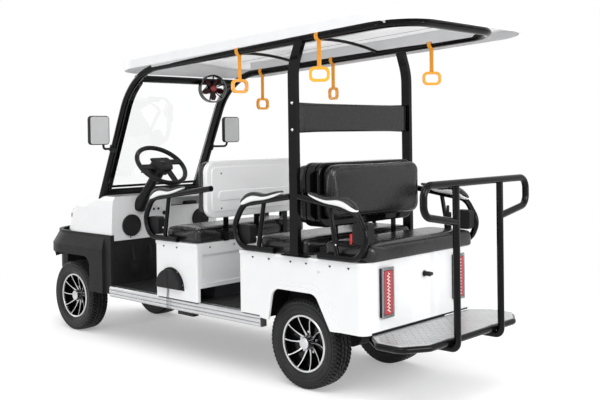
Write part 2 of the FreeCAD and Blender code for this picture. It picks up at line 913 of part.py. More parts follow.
def make_leaf_springs():
    """Four leaf springs, above the beam in front and above the tube behind."""
    s = size
    pack = s.leaf_thickness * s.leaf_count
    eye_z = frame_bottom_z - s.leaf_eye_radius - s.seat_gap
    front_z = axle_z + s.axle_beam_height / 2 + pack + s.seat_gap
    rear_z = axle_z + s.axle_tube_radius + pack + s.seat_gap
    front = leaf_spring(s.frame_front_x, front_axle_y, front_z, eye_z)
    rear = leaf_spring(s.rear_leaf_x, s.rear_axle_y, rear_z, eye_z)
    shapes = [front, other_side(front), rear, other_side(rear)]
    sub_part("leaf_springs", Part.makeCompound(shapes))


def make_chassis():
    """Welded frame: two long members, a narrower front pair, cross members, outriggers."""
    s = size
    half = s.frame_width / 2
    low, high = frame_bottom_z, frame_top_z
    pieces = []
    for side in (LEFT, RIGHT):
        for x, start, end in (
            (s.frame_x, s.frame_neck_y, frame_rear_end_y),
            (s.frame_front_x, frame_front_end_y, s.frame_neck_y + s.frame_width),
        ):
            pieces.append(block(side * x - half, side * x + half, start, end, low, high))
    reach = s.frame_x + half
    for y in (s.frame_neck_y, s.rear_box_front_y, frame_rear_end_y - s.frame_width):
        pieces.append(block(-reach, reach, y, y + s.frame_width, low, high))
    front_reach = s.frame_front_x + half
    y = frame_front_end_y
    pieces.append(block(-front_reach, front_reach, y, y + s.frame_width, low, high))
    for side in (LEFT, RIGHT):
        x = side * s.frame_front_x
        pieces.append(block(x - half, x + half, y, y + s.frame_wall * 2, low, s.bumper_bracket_top_z))
    run = s.rail_rear_y - rail_front_y
    outrigger_shares = (0.1, 0.5, 0.9)
    rail_inner_x = rail_outer_x - s.rail_width
    for share in outrigger_shares:
        y = rail_front_y + run * share - s.outrigger_width / 2
        pieces.append(block(-rail_inner_x, rail_inner_x, y, y + s.outrigger_width, low, high))
    eye_y = frame_front_end_y - s.tow_plate_length + s.tow_eye_radius * 2
    plate_z = (low + high - s.tow_plate_thickness) / 2
    pieces.append(block(
        -s.tow_plate_width / 2, s.tow_plate_width / 2,
        frame_front_end_y - s.tow_plate_length, frame_front_end_y,
        plate_z, plate_z + s.tow_plate_thickness,
    ))
    hole_start = Vector(0, eye_y, plate_z - s.overrun)
    hole = rod(s.tow_eye_radius, hole_start, hole_start + Z_WAY * (s.tow_plate_thickness + 2 * s.overrun))
    sub_part("chassis_frame", fused(*pieces).cut(hole))


def make_side_rails():
    """Ribbed aluminium rail along each side below the doors' openings."""
    top = "Dims.rail_bottom_z + Dims.rail_height"
    outer = "Dims.body_half_width - Dims.panel"
    inner = outer + " - Dims.rail_width"
    corners = [
        (inner, "Dims.rail_bottom_z"),
        (outer + " - Dims.rail_edge_round", "Dims.rail_bottom_z"),
        (outer, "Dims.rail_bottom_z + Dims.rail_edge_round"),
    ]
    for share in ("1 / 3", "2 / 3"):
        middle = "Dims.rail_bottom_z + Dims.rail_height * %s" % share
        groove_low = middle + " - Dims.rail_groove_height / 2"
        groove_high = middle + " + Dims.rail_groove_height / 2"
        corners += [
            (outer, groove_low),
            (outer + " - Dims.rail_groove", groove_low + " + Dims.rail_groove"),
            (outer + " - Dims.rail_groove", groove_high + " - Dims.rail_groove"),
            (outer, groove_high),
        ]
    corners += [
        (outer, top + " - Dims.rail_edge_round"),
        (outer + " - Dims.rail_edge_round", top),
        (inner, top),
    ]
    length = "Dims.rail_rear_y - Dims.nose_rear_y - Dims.seat_gap"
    rail = padded_body("left_rail", "XZ_Plane", corners, length, "-Dims.rail_rear_y")
    mirrored = doc.addObject("Part::Mirroring", "right_rail")
    mirrored.Source = rail
    mirrored.Normal = X_WAY
    rails = doc.addObject("Part::Compound", "side_rails")
    rails.Links = [rail, mirrored]


def make_floor():
    """Floor panel between the rails with the bulkhead that closes the nose off."""
    s = size
    inner = rail_outer_x - s.rail_width - s.seat_gap
    floor_high = block(-inner, inner, s.floor_front_y, s.rear_box_front_y, frame_top_z, floor_top_z)
    beside = s.body_half_width - s.skirt_flange - s.seat_gap
    bulkhead = block(
        -beside, beside,
        s.bulkhead_y - s.bulkhead_thickness, s.bulkhead_y,
        frame_top_z, s.dash_bottom_z,
    )
    sub_part("floor_pan", fused(floor_high, bulkhead))


def box_shell(front_y, rear_y, bottom_z, corner, corner_low_y):
    """Open-bottomed box with thin walls and a flange round its top."""
    s = size
    outer_x = s.body_half_width
    outer = block(-outer_x, outer_x, front_y, rear_y, bottom_z, flange_bottom_z)
    inner = block(
        -outer_x + s.panel, outer_x - s.panel,
        front_y + s.panel, rear_y - s.panel,
        bottom_z - s.overrun, flange_bottom_z,
    )
    lid = block(
        -outer_x - s.flange_reach, outer_x + s.flange_reach,
        front_y, rear_y, flange_bottom_z, s.seat_base_z,
    )
    corners = [edge for edge in edges_along(outer, Z_WAY) if edge.CenterOfMass.y > corner_low_y]
    outer = outer.makeFillet(corner, corners)
    corners = [edge for edge in edges_along(inner, Z_WAY) if edge.CenterOfMass.y > corner_low_y]
    inner = inner.makeFillet(corner - s.panel, corners)
    corners = [edge for edge in edges_along(lid, Z_WAY) if edge.CenterOfMass.y > corner_low_y]
    lid = lid.makeFillet(corner, corners)
    hollow = block(
        -outer_x + s.panel, outer_x - s.panel,
        front_y + s.panel, rear_y - s.panel,
        flange_bottom_z - s.overrun, s.seat_base_z - s.panel,
    )
    corners = [edge for edge in edges_along(hollow, Z_WAY) if edge.CenterOfMass.y > corner_low_y]
    hollow = hollow.makeFillet(corner - s.panel, corners)
    return fused(outer, lid).cut(inner).cut(hollow)


def make_front_seat_box():
    """White box under the front seat, with a toe space behind and a framed panel."""
    s = size
    shell = box_shell(
        s.front_box_front_y, s.front_box_rear_y, floor_top_z + s.seat_gap, s.box_corner,
        s.front_box_front_y - s.overrun,
    )
    toe_half = s.body_half_width - s.toe_space_inset
    toe = block(
        -toe_half, toe_half,
        s.front_box_rear_y - s.panel - s.overrun, s.front_box_rear_y + s.overrun,
        rail_top_z - s.overrun, s.toe_space_top_z,
    )
    half, rear = s.body_half_width - s.box_panel_inset, s.front_box_rear_y
    low, high = s.box_panel_bottom_z, s.box_panel_top_z
    frame = block(-half - s.panel, half + s.panel, rear - s.box_panel_depth - s.panel, rear,
                  low - s.panel, high + s.panel)
    recess = block(-half, half, rear - s.box_panel_depth, rear + s.overrun, low, high)
    sub_part("front_seat_box", fused(shell.cut(toe), frame).cut(recess))


def arch_outline(x, front_y, rear_y, bottom_z, top_z, grow):
    """Wheel arch outline, flat on top with rounded shoulders, grown by an amount."""
    s = size
    points = [
        Vector(x, front_y - grow, bottom_z),
        Vector(x, front_y - grow + s.arch_bottom_slant, top_z + grow),
        Vector(x, rear_y + grow - s.arch_shoulder, top_z + grow),
        Vector(x, rear_y + grow, bottom_z),
    ]
    path = bent_wire(points, s.arch_round + grow)
    closing = Part.makeLine(points[-1], points[0])
    return Part.Face(Part.Wire(path.Edges + [closing]))


def make_rear_body():
    """White body over the rear axle with a wheel arch and lip on each side."""
    s = size
    shell = box_shell(
        s.rear_box_front_y, s.rear_box_rear_y, s.rear_box_bottom_z, s.rear_box_corner,
        s.rear_axle_y,
    )
    floor_z = s.rear_box_bottom_z
    for side in (LEFT, RIGHT):
        x = side * (s.body_half_width - s.panel - s.overrun)
        opening = arch_outline(x, arch_front_y, arch_rear_y, floor_z - s.overrun, s.arch_top_z, 0)
        way = Vector(side * (s.panel + s.overrun + s.overrun), 0, 0)
        lip_x = side * (s.body_half_width - s.panel)
        for width, height in (
            (s.arch_lip_width, s.arch_lip_height),
            (s.arch_bead_width, s.arch_bead_height),
        ):
            lip = arch_outline(lip_x, arch_front_y, arch_rear_y, floor_z, s.arch_top_z, width)
            shell = fused(shell, lip.extrude(Vector(side * (s.panel + height), 0, 0)))
        shell = shell.cut(opening.extrude(way))
    reach = s.body_half_width + s.overrun
    rail_room = block(-reach, reach, s.rear_box_front_y - s.overrun, s.rail_rear_y + s.seat_gap,
                      0, rail_top_z + s.seat_gap)
    sub_part("rear_body", shell.cut(rail_room))


def make_arch_liners():
    """Liner over each rear wheel, between the body side and the wheel's inner side."""
    s = size
    outer_x = s.body_half_width - s.panel - s.seat_gap
    inner_x = s.wheel_x - s.tyre_width / 2 - s.liner_wheel_gap
    bottom = rail_top_z + s.seat_gap
    grow = s.liner_thickness
    outer = arch_outline(inner_x, liner_front_y, arch_rear_y, bottom, s.arch_top_z, grow)
    inner = arch_outline(
        inner_x + s.liner_thickness, liner_front_y, arch_rear_y,
        bottom - s.overrun, s.arch_top_z, 0,
    )
    shell = outer.extrude(Vector(outer_x - inner_x, 0, 0))
    shell = shell.cut(inner.extrude(Vector(outer_x - inner_x, 0, 0)))
    sub_part("arch_liners", both_sides(shell))


# Nose

def nose_plan(z, half_width, front_y, rear_y, corner):
    """Plan outline of the nose: square behind, rounded at its two front corners."""
    turn = corner * (1 - math.cos(math.radians(RIGHT_ANGLE / 2)))
    right_start = Vector(half_width, front_y + corner, z)
    right_middle = Vector(half_width - turn, front_y + turn, z)
    right_end = Vector(half_width - corner, front_y, z)
    edges = [
        Part.makeLine(Vector(half_width, rear_y, z), right_start),
        Part.Arc(right_start, right_middle, right_end).toShape(),
        Part.makeLine(right_end, Vector(-right_end.x, front_y, z)),
        Part.Arc(
            Vector(-right_end.x, front_y, z),
            Vector(-right_middle.x, right_middle.y, z),
            Vector(-half_width, right_start.y, z),
        ).toShape(),
        Part.makeLine(Vector(-half_width, right_start.y, z), Vector(-half_width, rear_y, z)),
        Part.makeLine(Vector(-half_width, rear_y, z), Vector(half_width, rear_y, z)),
    ]
    return Part.Wire(edges)


def nose_form(bottom, top, inset):
    """Solid of the black nose: a core up to the cowl, and a flare round it that slopes in to a ledge."""
    s = size

    def plan(z, depth, rake, end):
        """Plan outline at a height, moved inwards, its front moved back."""
        return nose_plan(
            z, s.body_half_width - depth - inset, nose_front_y + rake + inset, end,
            s.nose_corner - depth - inset,
        )

    core = Part.Face(plan(bottom, s.fender_ledge_depth, s.nose_rake, s.nose_rear_y))
    core = core.extrude(Vector(0, 0, top - bottom))
    end = s.nose_rear_y - s.fender_band - inset
    lower = Part.Face(plan(bottom, 0, 0, end)).extrude(Vector(0, 0, s.fender_shoulder_z - bottom))
    rows = [plan(s.fender_shoulder_z, 0, 0, end),
            plan(s.fender_ledge_z - inset, s.fender_ledge_depth, s.nose_rake, end)]
    return fused(core, lower, Part.makeLoft(rows, True, True))


def make_front_skirt():
    """Black lower nose: flared fenders with a ledge over each wheel arch, and the bumper."""
    s = size
    low, high = s.nose_bottom_z, s.nose_top_z
    wall, rear = s.nose_wall, s.nose_rear_y
    outer = nose_form(low, high, 0)
    inner = nose_form(low - s.overrun, high + s.overrun, wall)

    def layer(bottom, top, inset):
        """Slice of the core's plan, moved inwards by an inset."""
        inset += s.fender_ledge_depth
        front = nose_front_y + s.nose_rake + inset - s.fender_ledge_depth
        plan = nose_plan(bottom, s.body_half_width - inset, front, rear, s.nose_corner - inset)
        return Part.Face(plan).extrude(Vector(0, 0, top - bottom))

    flange = s.skirt_flange
    opening = layer(low - s.overrun, high + s.overrun, flange - s.fender_ledge_depth)
    top_plate = layer(high - wall, high, 0).cut(opening)
    inner_x = s.body_half_width - flange
    outer_x = s.body_half_width - wall
    rear_plate = block(-outer_x, outer_x, rear - wall, rear, low, high - wall)
    rear_plate = rear_plate.cut(block(-inner_x, inner_x, rear - flange, rear + flange, 0, high))
    rear_plate = rear_plate.common(outer)
    shell = fused(outer.cut(inner), top_plate, rear_plate)
    reach = s.body_half_width + s.overrun
    arch = block(-reach, reach, front_arch_front_y, front_arch_rear_y, 0, s.front_arch_top_z)
    arch = arch.makeFillet(
        s.front_arch_round,
        [edge for edge in edges_along(arch, X_WAY) if edge.CenterOfMass.z > axle_z],
    )
    front_cut = block(-reach, reach, nose_front_y - s.overrun, front_arch_front_y + s.overrun,
                      0, s.front_valance_z)
    shell = shell.cut(arch).cut(front_cut)
    bumper_half = s.body_half_width - s.bumper_inset
    bumper = block(
        -bumper_half, bumper_half,
        bumper_front_y, bumper_front_y + s.bumper_depth + s.nose_wall,
        s.bumper_bottom_z, s.bumper_bottom_z + s.bumper_height,
    )
    front_edges = [edge for edge in edges_along(bumper, Z_WAY) if edge.CenterOfMass.y < nose_front_y]
    bumper = bumper.makeFillet(s.bumper_corner, front_edges)
    sub_part("front_skirt", fused(shell, bumper.cut(inner)))


def cowl_sections(inset):
    """Plan outlines of the cowl from its base to its top, moved inwards by an inset."""
    s = size
    rise = s.cowl_top_z - s.nose_top_z
    width, front = cowl_half_width, cowl_front_y
    length = s.dash_y - front
    base_shares = (
        # height, width, length and corner as shares of the base
        (0.0, 1.0, 1.0, 0.95),
        (0.38, 0.99, 0.955, 0.99),
        (0.70, 0.98, 0.90, 1.02),
        (0.90, 0.965, 0.66, 1.10),
        (1.0, 0.93, 0.40, 1.30),
    )
    sections = []
    for height_share, width_share, length_share, corner_share in base_shares:
        z = s.nose_top_z + s.seat_gap + rise * height_share
        if height_share == 1:
            z -= inset
        if height_share == 0.0 and inset:
            z -= s.overrun
        rear = s.dash_y + (s.overrun if inset else 0)
        front_y = s.dash_y - length * length_share + inset
        corner = width * corner_share * length_share
        sections.append(nose_plan(z, width * width_share - inset, front_y, rear, corner - inset))
    return sections


def make_cowl():
    """White cowl over the nose, a moulded shell with an open back."""
    s = size
    outer = Part.makeLoft(cowl_sections(0), True, True)
    inner = Part.makeLoft(cowl_sections(s.panel), True, True)
    shell = outer.cut(inner)
    for side in (LEFT, RIGHT):
        shell = shell.cut(headlamp_rod(s.headlamp_radius + s.seat_gap, side * headlamp_x))
    sub_part("front_cowl", shell.cut(canopy_tube(s.roof_tube_radius + s.seat_gap)))


def make_dashboard():
    """Panel that closes the cowl's back, with a tray opening on the passenger's side."""
    s = size
    front, seam = s.dash_y - s.dash_thickness, s.nose_top_z + s.seat_gap
    wide = cowl_half_width
    board = Part.makeLoft(cowl_sections(s.panel + s.seat_gap), True, True)
    board = board.common(block(-wide, wide, front, s.dash_y, seam, s.cowl_top_z))
    narrow = s.body_half_width - s.skirt_flange - s.seat_gap
    board = fused(board, block(-narrow, narrow, front, s.dash_y, s.dash_bottom_z, seam))
    tray_top = s.tray_top_z
    tray = block(-s.tray_outer_x, -s.tray_inner_x, front - s.overrun, s.dash_y + s.overrun,
                 tray_top - s.tray_height, tray_top)
    board = board.cut(tray).cut(steering_rod(s.column_radius + s.seat_gap, 0, s.column_length))
    sub_part("dashboard", board)


def headlamp_rod(radius, x):
    """Barrel of a headlamp, long enough to pass through the cowl's front."""
    s = size
    back_y = cowl_front_y + s.headlamp_setback + s.headlamp_depth
    return rod(radius, Vector(x, cowl_front_y, s.headlamp_z), Vector(x, back_y, s.headlamp_z))


def make_headlamps():
    """Two round lamps whose faces follow the cowl."""
    s = size
    outer = Part.makeLoft(cowl_sections(0), True, True)
    lamps = [headlamp_rod(s.headlamp_radius, side * headlamp_x).common(outer) for side in (LEFT, RIGHT)]
    sub_part("headlamps", Part.makeCompound(lamps))


# Seats

def make_cushion(label, front_y, rear_y):
    """Seat cushion with rounded corners and a rounded upper rim."""
    s = size
    low = cushion_bottom_z
    sub_part(label, rounded_slab(
        -cushion_half_width, cushion_half_width, front_y, rear_y,
        low, low + s.cushion_thickness, Z_WAY, s.cushion_corner, s.cushion_round,
    ))


def make_cushions():
    """Cushions of the three rows."""
    s = size
    make_cushion("front_cushion", s.front_box_front_y + s.front_cushion_setback,
                 s.front_box_rear_y - s.front_cushion_margin)
    make_cushion("mid_cushion", s.rear_box_front_y + s.mid_cushion_setback, s.mid_cushion_rear_y)
    make_cushion("rear_cushion", s.rear_cushion_front_y, s.rear_box_rear_y + s.rear_cushion_overhang)


def backrest_slab(front_y, rear_y, inset, way, edge):
    """Upright slab of the backrests' outline, its rim rounded on one face."""
    s = size
    half = backrest_half_width - inset
    return rounded_slab(
        -half, half, front_y, rear_y,
        s.backrest_bottom_z + inset, s.backrest_top_z - inset,
        way, s.backrest_corner - inset, edge,
    )


def stepped_shell():
    """Front backrest's shell: a raised panel on its back with a round-ended ridge across it."""
    s = size
    rear = front_shell_rear_y
    base = backrest_slab(rear - s.shell_thickness, rear - 2 * s.shell_step, 0, Y_WAY, s.shell_round)
    half = backrest_half_width - s.shell_step_inset
    low, high = s.backrest_bottom_z + s.shell_step_inset, s.backrest_top_z - s.shell_step_inset
    panel = rounded_slab(-half, half, rear - s.pad_round, rear - s.shell_step, low, high,
                         Y_WAY, s.backrest_corner - s.shell_step_inset, s.shell_step)
    half = backrest_half_width - s.shell_ridge_inset
    low = s.shell_ridge_bottom_z
    corner = s.shell_ridge_height / 2 - s.seat_gap
    ridge = rounded_slab(-half, half, rear - s.pad_round, rear, low, low + s.shell_ridge_height,
                         Y_WAY, corner, s.shell_step)
    return fused(base, panel, ridge)


def grooved_shell(front_y, rear_y, way):
    """Shell of a rear backrest with one groove round its rim between two beads."""
    s = size
    slab = backrest_slab(front_y, rear_y, 0, way, s.shell_round)
    middle, reach = (front_y + rear_y) / 2, backrest_half_width + s.overrun
    band = block(-reach, reach, middle - s.shell_groove / 2, middle + s.shell_groove / 2,
                 s.backrest_bottom_z - s.overrun, s.backrest_top_z + s.overrun)
    core = backrest_slab(front_y - s.overrun, rear_y + s.overrun, s.shell_groove, way, s.seat_gap)
    return slab.cut(band.cut(core))


def make_backrests():
    """Pads and moulded shells: one pair in front, two pairs back to back behind."""
    s = size
    gap = s.seat_gap
    mid_face = s.mid_shell_front_y
    rear_face = mid_face + 2 * s.double_shell_thickness
    pads = []
    for face in (front_shell_rear_y - s.shell_thickness, mid_face):
        start = face - gap - s.pad_thickness
        pads.append(backrest_slab(start, face - gap, s.pad_inset, -Y_WAY, s.pad_round))
    start = rear_face + gap
    pads.append(backrest_slab(start, start + s.pad_thickness, s.pad_inset, Y_WAY, s.pad_round))
    sub_part("backrest_pads", Part.makeCompound(pads))
    middle = mid_face + s.double_shell_thickness
    mid_shell = grooved_shell(mid_face, middle - gap, -Y_WAY)
    rear_shell = grooved_shell(middle, rear_face, Y_WAY)
    sub_part("backrest_shells", Part.makeCompound([stepped_shell(), mid_shell, rear_shell]))


def make_backrest_brackets():
    """Flat steel uprights from the seat boxes to the undersides of the shells."""
    s = size
    bars = []
    top = s.backrest_bottom_z - s.seat_gap
    for rear_y in (s.front_box_rear_y + s.backrest_bracket_thickness, s.rear_bracket_y):
        for x in (-s.backrest_bracket_x, 0, s.backrest_bracket_x):
            half = s.backrest_bracket_width / 2
            bar = block(x - half, x + half, rear_y - s.backrest_bracket_thickness, rear_y,
                        s.seat_base_z + s.seat_gap, top)
            bars.append(bar)
    sub_part("backrest_brackets", Part.makeCompound(bars))


# Armrests

def armrest_row(nose_y, way, back_y, back_z):
    """Points of one armrest's tube in its upright plane, from the back end to the bottom end."""
    s = size
    low = s.seat_base_z + s.armrest_tube_radius + s.seat_gap
    return [
        Vector(armrest_x, back_y, back_z),
        Vector(armrest_x, nose_y + way * s.armrest_top_run, s.armrest_top_z),
        Vector(armrest_x, nose_y, s.armrest_nose_z),
        Vector(armrest_x, nose_y + way * s.armrest_low_run, low),
        Vector(armrest_x, nose_y + way * s.armrest_bar_run, low),
    ]


def armrest_rows():
    """The three rows: where the tube's nose is, which way it runs back, where it ends."""
    s = size
    half = s.rear_pillar_depth / 2 + s.seat_gap
    return (
        (s.front_armrest_y, 1, s.front_armrest_end_y, s.front_armrest_end_z),
        (s.mid_armrest_y, 1, s.rear_pillar_y - half, s.mid_armrest_end_z),
        (s.rear_armrest_y, -1, s.rear_pillar_y + half, s.mid_armrest_end_z),
    )


def pillar_room():
    """Space that the left rear pillar takes, with a gap all round."""
    s = size
    half_x = s.rear_pillar_width / 2 + s.seat_gap
    half_y = s.rear_pillar_depth / 2 + s.seat_gap
    return block(rear_pillar_x - half_x, rear_pillar_x + half_x,
                 s.rear_pillar_y - half_y, s.rear_pillar_y + half_y,
                 s.seat_base_z, s.rear_pillar_knee_z)


def make_armrests():
    """Tube loop and strut of each armrest, and the padded grip over its top run."""
    s = size
    frames = []
    pads = []
    for nose_y, way, back_y, back_z in armrest_rows():
        points = armrest_row(nose_y, way, back_y, back_z)
        loop = tube(points, s.armrest_bend, s.armrest_tube_radius)
        low = points[-1].z
        strut_top = Vector(armrest_x, nose_y + way * s.strut_top_run, s.strut_top_z)
        strut_foot = Vector(armrest_x, nose_y + way * s.strut_foot_run, low)
        frame = fused(loop, rod(s.strut_radius, strut_foot, strut_top)).cut(pillar_room())
        frames += [frame, other_side(frame)]
        pad_line = [
            Vector(armrest_x, nose_y + way * s.pad_back_run, s.pad_back_z),
            Vector(armrest_x, nose_y + way * s.pad_middle_run, s.pad_middle_z),
            Vector(armrest_x, nose_y + way * s.pad_front_run, s.pad_front_z),
        ]
        pad = tube(pad_line, s.pad_bend, s.armrest_pad_radius)
        core = tube(points, s.armrest_bend, s.armrest_tube_radius + s.seat_gap)
        pad = pad.cut(core).cut(rod(s.strut_radius + s.seat_gap, strut_foot, strut_top + Z_WAY * s.overrun))
        pads += [pad, other_side(pad)]
    sub_part("armrest_frames", Part.makeCompound(frames))
    sub_part("armrest_pads", Part.makeCompound(pads))


def make_belt_units():
    """Belt retractor inside the nose of each armrest."""
    s = size
    outer_x = armrest_x - s.armrest_tube_radius - s.seat_gap
    units = []
    lows = (s.belt_unit_low_z, s.belt_unit_low_z, s.rear_belt_unit_low_z)
    for (nose_y, way, back_y, back_z), low in zip(armrest_rows(), lows):
        near = nose_y + way * s.belt_unit_start
        far = near + way * s.belt_unit_length
        unit = block(outer_x - s.belt_unit_width, outer_x, min(near, far), max(near, far),
                     low, low + s.belt_unit_height)
        unit = unit.makeFillet(s.belt_unit_round, edges_along(unit, X_WAY))
        units += [unit, other_side(unit)]
    sub_part("belt_units", Part.makeCompound(units))


# Canopy frame and roof

def canopy_points():
    """Corners of the frame's one long tube, from the left base to the right base."""
    s = size
    left = [
        Vector(pillar_x, s.pillar_base_y, s.pillar_base_z),
        Vector(knee_x, s.pillar_knee_y, s.pillar_knee_z),
        Vector(roof_tube_x, s.roof_rear_y, s.roof_rear_z),
    ]
    right = [Vector(-point.x, point.y, point.z) for point in reversed(left)]
    return left + right


def canopy_tube(radius):
    """Front pillars, roof tubes and rear cross tube as one bent tube."""
    s = size
    bends = [s.pillar_bend, s.roof_rear_bend, s.roof_rear_bend, s.pillar_bend]
    return tube(canopy_points(), bends, radius)


def roof_bow(y, radius):
    """Arched bar between the roof tubes."""
    s = size
    z = roof_tube_z(y)
    places = ((roof_tube_x, z), (0, z + s.bow_rise), (-roof_tube_x, z))
    arc = Part.Arc(*[Vector(x, y, height) for x, height in places]).toShape()
    start = arc.FirstParameter
    section = Part.Wire([Part.Circle(arc.valueAt(start), arc.tangentAt(start), radius).toShape()])
    return swept(Part.Wire([arc]), section)


def cross_bar(z, radius, y=None):
    """Straight bar between the front pillars, on their straight run unless a place is given."""
    s = size
    share = (z - s.pillar_base_z) / (s.pillar_knee_z - s.pillar_base_z)
    if y is None:
        y = s.pillar_base_y + (s.pillar_knee_y - s.pillar_base_y) * share
    x = pillar_x + (knee_x - pillar_x) * share
    return rod(radius, Vector(-x, y, z), Vector(x, y, z))


def pillar_strip(half_x, half_depth, shift):
    """Bar or sheet of a rectangular section that follows the left front pillar."""
    s = size
    points = [point - X_WAY * shift for point in canopy_points()[:3]]
    way = (points[1] - points[0]).normalize()
    out = way.cross(X_WAY).normalize()
    places = ((1, 1), (-1, 1), (-1, -1), (1, -1))
    corners = [points[0] + X_WAY * half_x * i + out * half_depth * j for i, j in places]
    return swept(bent_wire(points, s.pillar_bend), Part.makePolygon(corners + [corners[0]]))


def windscreen_jamb():
    """Left channel beside the windscreen, on the inner side of the front pillar."""
    s = size
    shift = s.roof_tube_radius + s.jamb_width / 2 - s.jamb_lap
    strip = pillar_strip(s.jamb_width / 2, s.jamb_depth / 2, shift)
    return strip.common(block(0, roof_half_width, nose_front_y, s.high_bar_y, cowl_bar_z, s.roof_rear_z))


def make_canopy_frame():
    """The bent tube with two bows, three bars across the front and the windscreen's channels."""
    s = size
    pieces = [canopy_tube(s.roof_tube_radius)]
    pieces += [roof_bow(y, s.bow_radius) for y in (s.bow_front_y, s.bow_rear_y)]
    pieces.append(cross_bar(cowl_bar_z, s.roof_tube_radius - s.seat_gap))
    pieces.append(cross_bar(s.low_bar_z, s.low_bar_radius))
    pieces.append(cross_bar(s.high_bar_z, s.roof_tube_radius - s.seat_gap, s.high_bar_y))
    pieces += [windscreen_jamb(), other_side(windscreen_jamb())]
    reach = roof_half_width
    below = block(-reach, reach, s.pillar_base_y - reach, s.pillar_base_y + reach,
                  0, s.cowl_top_z - s.pillar_foot)
    sub_part("canopy_frame", fused(*pieces).cut(below))


def make_windscreen():
    """Clear sheet between the channels, from the low bar to the high one, bent with the pillars."""
    s = size
    half = pillar_x - s.roof_tube_radius - s.jamb_width + s.jamb_lap - s.seat_gap
    path = [Vector(0, point.y, point.z) for point in canopy_points()[:3]]
    out = (path[1] - path[0]).normalize().cross(X_WAY).normalize() * (s.windscreen_thickness / 2)
    side = X_WAY * half
    corners = [path[0] + side + out, path[0] - side + out, path[0] - side - out, path[0] + side - out]
    sheet_form = swept(bent_wire(path, s.pillar_bend), Part.makePolygon(corners + [corners[0]]))
    reach = half + s.overrun
    glass = sheet_form.common(block(-reach, reach, nose_front_y, s.high_bar_y, s.low_bar_z, s.roof_rear_z))
    glass = glass.cut(cross_bar(s.low_bar_z, s.low_bar_radius + s.seat_gap))
    glass = glass.cut(cross_bar(s.high_bar_z, s.roof_tube_radius + s.seat_gap, s.high_bar_y))
    sub_part("windscreen", glass)


def rear_pillar():
    """Left rear pillar: base plate and a flat-sided tube that leans in to the roof tube."""
    s = size
    y, x = s.rear_pillar_y, rear_pillar_x
    foot_z = s.seat_base_z + s.seat_gap + s.rear_pillar_plate_thickness
    top = Vector(roof_tube_x, y, roof_tube_z(y))
    points = [Vector(x, y, foot_z), Vector(x, y, s.rear_pillar_knee_z), top]
    path = bent_wire(points, s.rear_pillar_bend)
    half_x, half_y = s.rear_pillar_width / 2, s.rear_pillar_depth / 2
    places = ((1, 1), (-1, 1), (-1, -1), (1, -1))
    corners = [Vector(x + i * half_x, y + j * half_y, foot_z) for i, j in places]
    bar = swept(path, Part.makePolygon(corners + [corners[0]]))
    long = s.rear_pillar_plate_length / 2
    plate = block(cushion_half_width + s.seat_gap, x + half_x + s.flange_reach, y - long, y + long,
                  foot_z - s.rear_pillar_plate_thickness, foot_z)
    return fused(bar, plate).cut(canopy_tube(s.roof_tube_radius + s.seat_gap))


def make_rear_pillars():
    """Both rear pillars."""
    sub_part("rear_pillars", both_sides(rear_pillar()))


def make_head_panel():
    """Padded panel between the rear pillars at head height."""
    s = size
    half = rear_pillar_x - s.rear_pillar_width / 2 - s.seat_gap
    front, rear = (s.rear_pillar_y + way * s.head_panel_thickness / 2 for way in (-1, 1))
    panel = block(-half, half, front, rear, s.head_panel_bottom_z, s.head_panel_top_z)
    sub_part("head_panel", panel.makeFillet(s.head_panel_round, edges_along(panel, X_WAY)))


def roof_form(inset):
    """Solid of the roof's outer form: rounded plan, upright skirt, arched top."""
    s = size
    half = roof_half_width - inset
    base = s.pillar_knee_z - s.roof_drop - (s.overrun if inset else 0)
    shoulder = s.pillar_knee_z - s.roof_drop + s.roof_skirt - inset
    front, rear = s.roof_front_y + inset, s.roof_end_y - inset
    arch = Part.Arc(
        Vector(half, front, shoulder),
        Vector(0, front, shoulder + s.roof_crown),
        Vector(-half, front, shoulder),
    ).toShape()
    rim = Part.makePolygon([
        Vector(-half, front, shoulder), Vector(-half, front, base),
        Vector(half, front, base), Vector(half, front, shoulder),
    ])
    section = Part.Face(Part.Wire([arch] + rim.Edges))
    form = section.extrude(Vector(0, rear - front, 0))
    plan = block(-half, half, front, rear, base, shoulder + s.roof_crown + s.overrun)
    plan = plan.makeFillet(s.roof_corner - inset, edges_along(plan, Z_WAY))
    form = form.common(plan)
    rim = [edge for edge in form.Edges if edge.BoundBox.ZMin > shoulder - s.seat_gap]
    return form.makeFillet(s.roof_edge_round, rim)


def grip_places():
    """Middle of the roof tube at each hanging grip, how far it drops and its handle's turn."""
    s = size
    places = []
    for side, y, drop, turn in (
        (LEFT, s.left_grip_front_y, s.strap_drop, s.left_grip_front_turn),
        (LEFT, s.left_grip_rear_y, s.strap_drop, s.grip_face_turn),
        (RIGHT, s.right_grip_front_y, s.front_strap_drop, s.right_grip_front_turn),
        (RIGHT, s.right_grip_mid_y, s.middle_strap_drop, s.right_grip_mid_turn),
        (RIGHT, s.right_grip_rear_y, s.strap_drop, s.grip_face_turn),
    ):
        share = (y - s.pillar_knee_y) / (s.roof_rear_y - s.pillar_knee_y)
        tube_x = knee_x + (roof_tube_x - knee_x) * share
        places.append((Vector(side * tube_x, y, roof_tube_z(y)), drop, turn))
    return places


def sling_rod(centre, half_width, radius):
    """Round bar along the roof tube, centred on a hanging grip."""
    along = Vector(0, math.cos(roof_slope), math.sin(roof_slope))
    return rod(radius, centre - along * half_width, centre + along * half_width)


